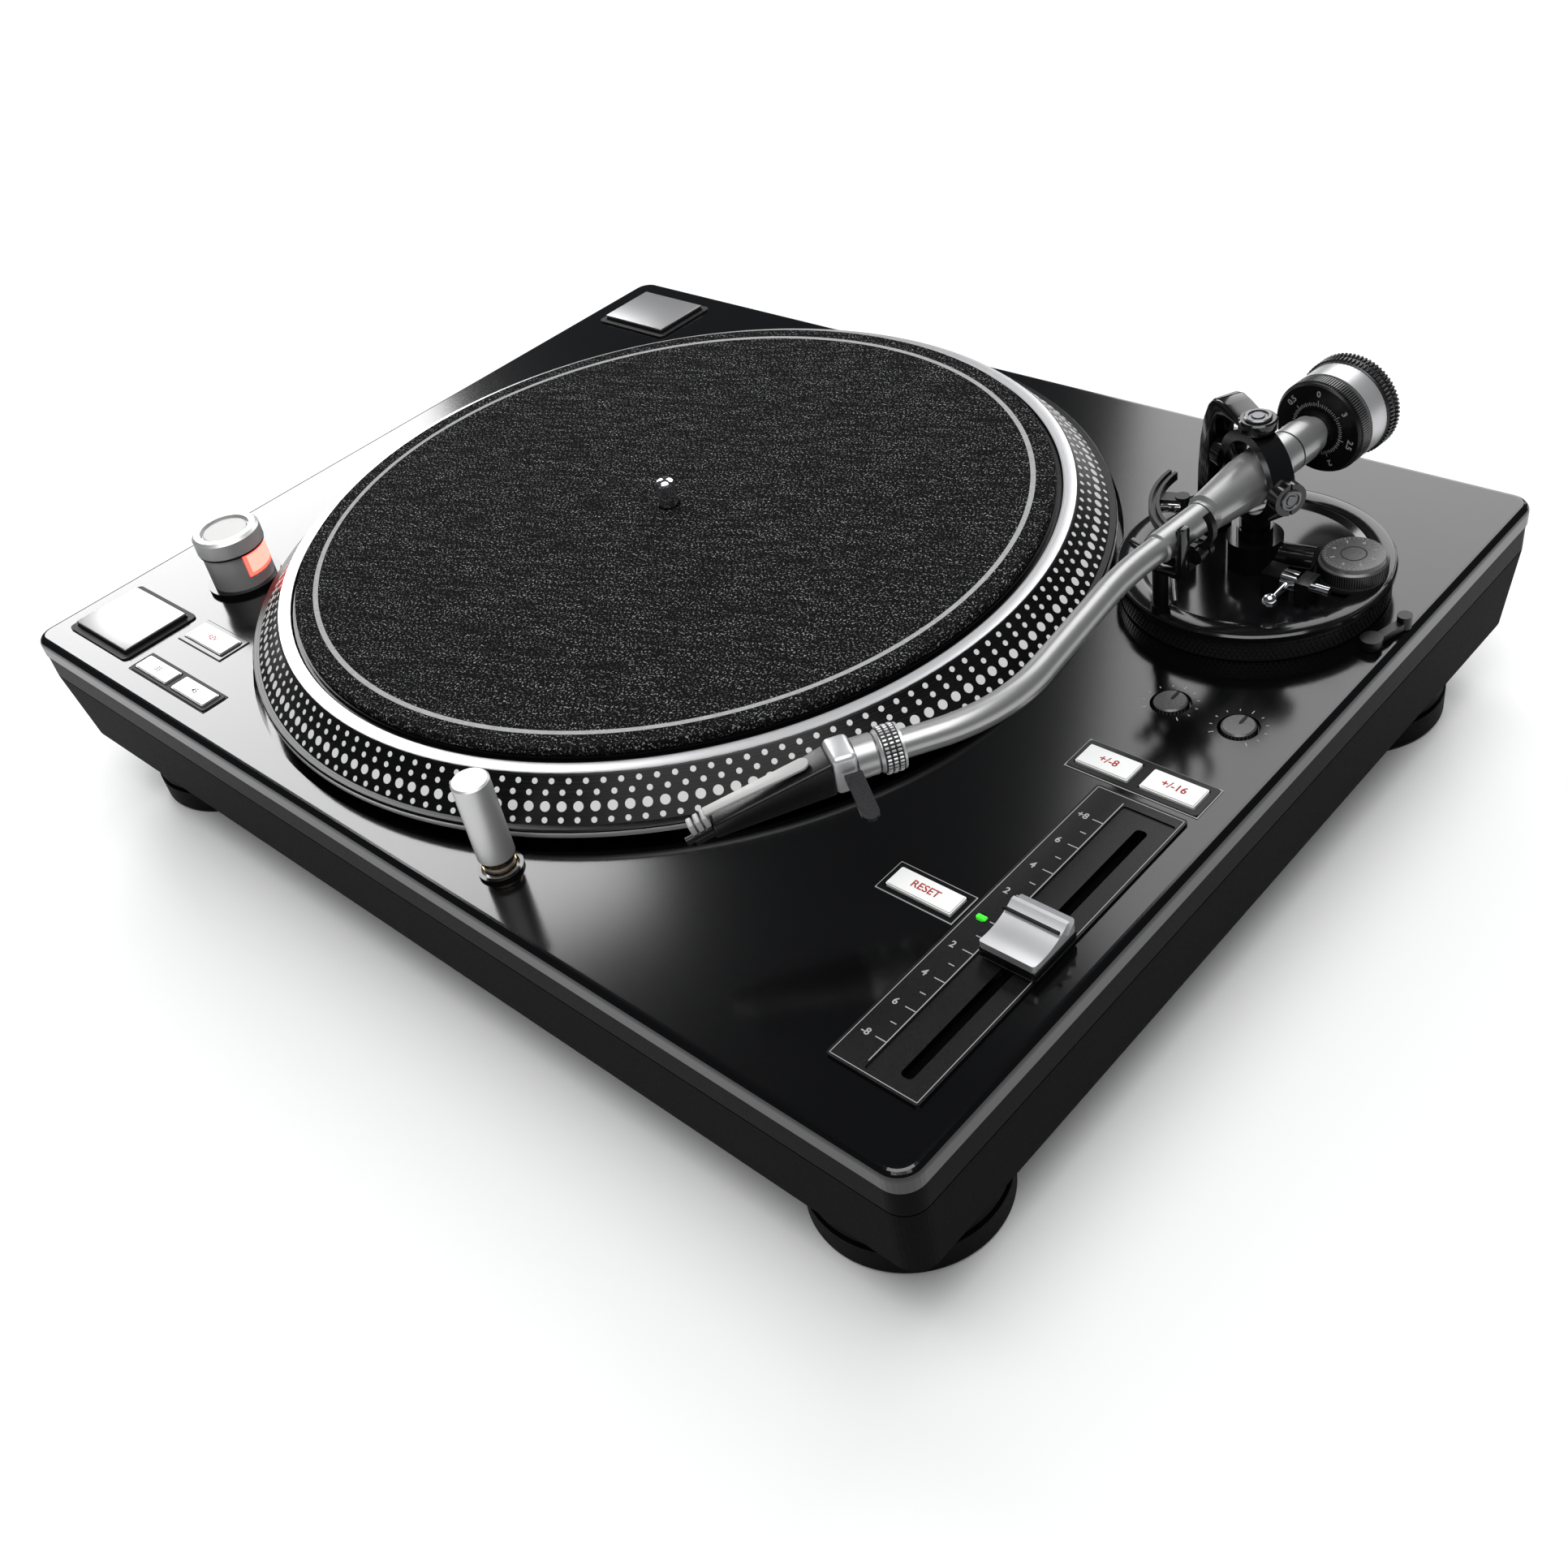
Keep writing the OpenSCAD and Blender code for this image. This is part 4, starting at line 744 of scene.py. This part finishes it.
class TURNTABLE_OT_arm_base(bpy.types.Operator):
    """Adds the arm base's knurls, dial figures, gimbal blade and bright caps"""

    bl_idname = "turntable.arm_base"
    bl_label = "Arm base"

    def execute(self, context):
        studs = bmesh.new()
        for row in range(STUD_ROWS):
            for i in range(STUDS):
                angle = 360 * (i + row % 2 / 2) / STUDS
                bmesh.ops.create_cube(studs, size=1.0, matrix=ON_PIVOT @ turn(angle)
                                      @ at(STUD_RADIUS, 0, 1.5 + 1.5 * row)
                                      @ Matrix.Diagonal((0.7, 0.95, 0.85, 1)))
        piece("height_ring_studs", studs, "knurl_black", "height_ring")
        rim = bmesh.new()
        spun(rim, [(38.2, 10.9), (45.2, 10.9), (45.0, 11.35), (44.2, 11.6), (39.4, 11.6),
                   (38.4, 11.3)], ON_PIVOT, 180)
        piece("arm_base_rim", rim, "gloss_black", "arm_base")
        self.dial()
        self.blade()
        caps = bmesh.new()
        self.nut(caps, ON_PIVOT @ at(z=node_box("gimbal_arch")[1].z - DECK - 0.35), TOP_NUT)
        piece("gimbal_cap", caps, "nut_steel", "arm_base")
        nuts = bmesh.new()
        for side in (-1, 1):
            self.nut(nuts, at(*PIVOT) @ turn(YOKE_TURN) @ at(side * 19.4) @ turn(side * 90, "Y"),
                     YOKE_NUT)
        piece("gimbal_nuts", nuts, "nut_steel", "gimbal")
        bracket = bmesh.new()
        block(bracket, (7.0, 4.2, 3.0), ON_PIVOT @ turn(205) @ at(27.5, 0, 30.2), 0.5)
        piece("lift_bracket", bracket, "chrome", "lift_arc")
        rest = bmesh.new()
        block(rest, (2.6, 4.6, 18.5), ON_ARM @ at(7.4, -49.6, -0.5), 0.7)
        block(rest, (15.8, 3.0, 2.4), ON_ARM @ at(0.6, -49.6, -9.0), 0.5)
        block(rest, (2.6, 8.0, 2.4), ON_ARM @ at(-6.2, -46.9, -9.0), 0.5)
        block(rest, (2.4, 3.0, 7.0), ON_ARM @ at(-7.6, -49.6, -6.4), 0.5)
        block(rest, (5.4, 2.6, 2.0), ON_ARM @ at(-10.2, -49.6, -3.6) @ turn(18, "Y"), 0.5)
        piece("armrest_tab", rest, "gloss_black", "arm_base")
        wire = bmesh.new()
        rod(wire, 0.7, 22, ON_PIVOT @ at(-8.5, -35, 11.2) @ turn(37) @ turn(-68, "X"), 16)
        piece("armrest_wire", wire, "steel", "arm_base")
        return {"FINISHED"}

    def nut(self, bm, matrix, radius):
        """A slotted round nut with a raised ring and centre."""
        spun(bm, [(0, 0), (radius, 0), (radius, 0.55), (radius - 0.35, 0.85),
                  (radius * 0.72, 0.85), (radius * 0.66, 0.35), (radius * 0.5, 0.35),
                  (radius * 0.44, 0.8), (0, 0.8)], matrix, 64, False)

    def dial(self):
        """Figures, ribs and groove of the anti-skate dial."""
        centre, high = node_centre("antiskate_dial"), node_box("antiskate_dial")[1]
        place = at(centre.x, centre.y, high.z + 0.02)
        marks = bmesh.new()
        for i in range(DIAL_MARKS):
            block(marks, (0.16, 1.0 if i % 5 == 0 else 0.6, PRINT_DEPTH),
                  place @ turn(360 * i / DIAL_MARKS) @ at(y=9.0))
        for i in range(DIAL_FIGURES):
            text(marks, str(i), 1.9, place @ turn(-360 * i / DIAL_FIGURES) @ at(y=6.9))
        piece("antiskate_figures", marks, "print_grey", "antiskate_dial")
        ribs = bmesh.new()
        for i in range(DIAL_RIBS):
            block(ribs, (0.5, 0.42, 4.2), at(centre.x, centre.y, high.z - 4.4)
                  @ turn(360 * i / DIAL_RIBS) @ at(x=11.0))
        spun(ribs, ring_outline(9.0, 12.2, high.z - DECK - 8.3, high.z - DECK - 7.5),
             at(centre.x, centre.y, DECK), 96)
        piece("antiskate_ribs", ribs, "satin_black", "antiskate_dial")
        groove = bmesh.new()
        spun(groove, ring_outline(3.8, 4.25, 0, 0.35), place @ at(z=-0.3), 48)
        piece("antiskate_groove", groove, "slot_black_and_shade", "antiskate_dial")

    def blade(self):
        """The fin that carries the gimbal's upper bearing, with its round head."""
        head = node_box("gimbal_arch")[1].z - DECK - 0.4
        way = ON_PIVOT @ turn(180 + YOKE_TURN)
        fin = bmesh.new()
        outline = [(20.9, 9.4), (28.6, 9.4), (28.9, 20), (28.4, 34), (27.0, 46), (24.8, 55),
                   (22.2, 60.6), (19.2, 63.6), (15.5, 64.6), (11.5, 64.2), (5, 62.6), (0, 62.2),
                   (0, 60.0), (5, 59.9), (12, 59.9), (16.5, 58.6), (19.2, 55.2), (20.6, 50),
                   (20.9, 40)]
        bar(fin, outline, 9.6, way, 0.9, 3)
        spun(fin, [(2.2, 59.8), (5.9, 59.8), (6.2, 60.2), (6.2, head - 0.5), (5.7, head),
                   (2.2, head)], ON_PIVOT, 64)
        piece("gimbal_blade", fin, "gloss_black", "arm_base", 40,
              hides=["gimbal_arch"])


class TURNTABLE_OT_arm(bpy.types.Operator):
    """Adds the arm's knurls, scale, cartridge, headshell and weight details"""

    bl_idname = "turntable.arm"
    bl_label = "Arm"

    def execute(self, context):
        self.scale()
        self.weight()
        self.shell()
        collar, gap_shade = bmesh.new(), bmesh.new()
        for row in range(COLLAR_ROWS):
            for i in range(COLLAR_RIBS):
                block(collar, (0.9, 0.66, 1.25), ON_SHELL @ AHEAD @ turn(360 * i / COLLAR_RIBS)
                      @ at(6.65, 0, 12.1 + 1.75 * row), 0.15, 1)
        spun(collar, ring_outline(4.5, 6.8, 10.4, 11.1), ON_SHELL @ AHEAD)
        # Painted shade: a black core under the silver knurl ribs, so the gaps between them read dark as if in
        # shade.
        spun(gap_shade, ring_outline(5.9, 6.6, 11.2, 16.6), ON_SHELL @ AHEAD)
        piece("collar_knurl", collar, "bright_silver", "locking_collar")
        piece("collar_gap_shade", gap_shade, "slot_black_and_shade", "locking_collar")
        grooves = bmesh.new()
        spun(grooves, ring_outline(7.1, 7.36, 16.2, 16.8), ON_ARM @ ALONG)
        spun(grooves, ring_outline(4.9, 5.06, -31.0, -30.5), ON_ARM @ ALONG)
        piece("sleeve_grooves", grooves, "slot_black_and_shade", "arm")
        return {"FINISHED"}

    def scale(self):
        """Ticks and figures on the front of the force scale, and its fine rim, whose ribs are grey as a painted
        highlight.
        """
        marks = bmesh.new()
        face = ON_ARM @ ALONG @ at(z=SCALE_FACE) @ turn(180, "X")
        for i in range(FORCE_MARKS):
            long = i % 10 == 0
            block(marks, (0.2, 2.2 if long else 1.3 if i % 2 == 0 else 0.9, 0.08),
                  face @ turn(360 * i / FORCE_MARKS) @ at(y=9.2 if long else 8.8, z=0.02))
        for i in range(FORCE_FIGURES):
            words = str(i / 2) if i % 2 else str(i // 2)
            text(marks, words, 3.0, face @ turn(360 * i / FORCE_FIGURES) @ at(y=12.6, z=0.03))
        piece("scale_figures", marks, "print_grey", "scale_ring")
        # Painted highlight: the rim's ribs are grey, lighter than the black ring, to stand for light catching
        # their ridges.
        rim = bmesh.new()
        for i in range(RIM_RIBS):
            block(rim, (0.8, 0.42, 4.2),
                  ON_ARM @ ALONG @ turn(360 * i / RIM_RIBS) @ at(16.1, 0, 38.0))
        piece("scale_rim_highlight_ribs", rim, "dial_grey", "scale_ring")

    def weight(self):
        """The counterweight's black grip and its fine line."""
        way = ON_ARM @ ALONG
        black = bmesh.new()
        spun(black, [(5.2, 57.0), (16.0, 57.0), (16.75, 56.4), (16.75, 50.6), (16.4, 50.2),
                     (16.0, 50.2), (16.0, 49.9), (5.2, 49.9)], way, 128)
        for row in range(2):
            for i in range(GRIP_RIBS):
                block(black, (1.4, 0.85, 2.5), way @ turn(360 * (i + row / 2) / GRIP_RIBS)
                      @ at(16.75, 0, 52.0 + 3.1 * row), 0.2, 1)
        spun(black, [(5.2, 57.0), (12.5, 57.0), (12.0, 57.7), (5.2, 57.7)], way, 96)
        piece("weight_grip", black, "knurl_black", "counterweight")
        line = bmesh.new()
        spun(line, ring_outline(16.2, 16.48, 41.0, 41.3), way, 128)
        piece("weight_line", line, "slot_black_and_shade", "counterweight")

    def shell(self):
        """Neck, block, tapered body, top strip and ribbed tip of the cartridge."""
        barrel, neck = bmesh.new(), bmesh.new()
        spun(barrel, [(4.4, 18.0), (5.7, 18.0), (6.1, 18.4), (6.1, 24.2), (4.4, 24.2)],
             ON_SHELL @ AHEAD, 64)
        piece("shell_barrel", barrel, "satin_silver", "arm")
        block(neck, (11.6, 7.4, 12.8), ON_SHELL @ at(0, -27.8, -0.2), 1.7, 4)
        piece("shell_block", neck, "bright_silver", "arm")
        body, new = bmesh.new(), bmesh.new()
        bmesh.ops.create_cube(new, size=1.0, matrix=Matrix.Diagonal((10.6, 36, 11.2, 1)))
        front = [v for v in new.verts if v.co.y < 0]
        bmesh.ops.scale(new, vec=(0.5, 1, 0.46), verts=front)
        bmesh.ops.translate(new, vec=(0, 0, -7.4), verts=front)
        bmesh.ops.subdivide_edges(new, edges=[e for e in new.edges
                                              if abs(e.verts[0].co.y - e.verts[1].co.y) > 1],
                                  cuts=3)
        bmesh.ops.bevel(new, geom=list(new.edges), offset=0.9, segments=3, profile=0.5,
                        affect="EDGES", material=-1)
        add(body, new, ON_SHELL @ at(0, -49.2, -0.9))
        piece("cartridge_shell", body, "satin_black", "arm", 40,
              hides=["cartridge_body"])
        strip = bmesh.new()
        back = [(2.4 * math.cos(a), 12.6 + 2.4 * math.sin(a))
                for a in (math.pi * i / 8 for i in range(9))]
        bar(strip, back + [(-1.7, -17.4), (1.7, -17.4)], 1.0,
            ON_SHELL @ at(0, -51.6, 1.25) @ turn(11.6, "X") @ turn(-90, "X"), 0.25, 2)
        piece("cartridge_strip", strip, "strip_silver", "arm")
        tip = bmesh.new()
        for i in range(3):
            block(tip, (4.6 - 0.3 * i, 1.7, 4.0), ON_SHELL @ at(0, -68.6 - 2.1 * i, -4.4 - 0.7 * i)
                  @ turn(14, "X"), 0.5, 2)
        piece("stylus_ribs", tip, "strip_silver", "arm")


class TURNTABLE_OT_rear(bpy.types.Operator):
    """Adds the coloured rings of the phono jacks and the bright pins"""

    bl_idname = "turntable.rear"
    bl_label = "Rear"

    def execute(self, context):
        mounts = [m for m in frame["record"]["mounts"] if m["name"].endswith("_socket")
                  and m["kind"] == "pin"]
        barrels, hearts = bmesh.new(), bmesh.new()
        for mount in mounts:
            place = at(*(Vector(mount["pos_m"]) / MM)) @ ALONG
            spun(barrels, ring_outline(2.9, 4.2, -4.0, 4.05), place, 48)
            spun(hearts, [(1.2, -4.0), (2.9, -4.0), (2.9, 3.2), (1.2, 3.2)], place, 32)
        piece("jack_barrels", barrels, "chrome", "plinth")
        piece("jack_hearts", hearts, "white_key", "plinth")
        return {"FINISHED"}


STEPS = (TURNTABLE_OT_stage, TURNTABLE_OT_finishes, TURNTABLE_OT_platter, TURNTABLE_OT_controls,
         TURNTABLE_OT_arm_base, TURNTABLE_OT_arm, TURNTABLE_OT_rear)


class TURNTABLE_PT_panel(bpy.types.Panel):
    """Lists the turntable's settings and its steps"""

    bl_idname = "TURNTABLE_PT_panel"
    bl_label = "Turntable"
    bl_space_type = "VIEW_3D"
    bl_region_type = "UI"
    bl_category = "Turntable"

    def draw(self, context):
        for name in TurntableSettings.__annotations__:
            self.layout.prop(settings(), name)
        for step in STEPS:
            self.layout.operator(step.bl_idname)


CLASSES = (TurntableSettings, *STEPS, TURNTABLE_PT_panel)


def register():
    """Adds the classes and the settings to Blender."""
    for cls in CLASSES:
        bpy.utils.register_class(cls)
    bpy.types.Scene.turntable_settings = PointerProperty(type=TurntableSettings)


def unregister():
    """Takes them away again."""
    del bpy.types.Scene.turntable_settings
    for cls in reversed(CLASSES):
        bpy.utils.unregister_class(cls)


def main():
    """Runs every step in order."""
    register()
    for step in STEPS:
        group, name = step.bl_idname.split(".")
        getattr(getattr(bpy.ops, group), name)()


if __name__ == "__main__":
    main()
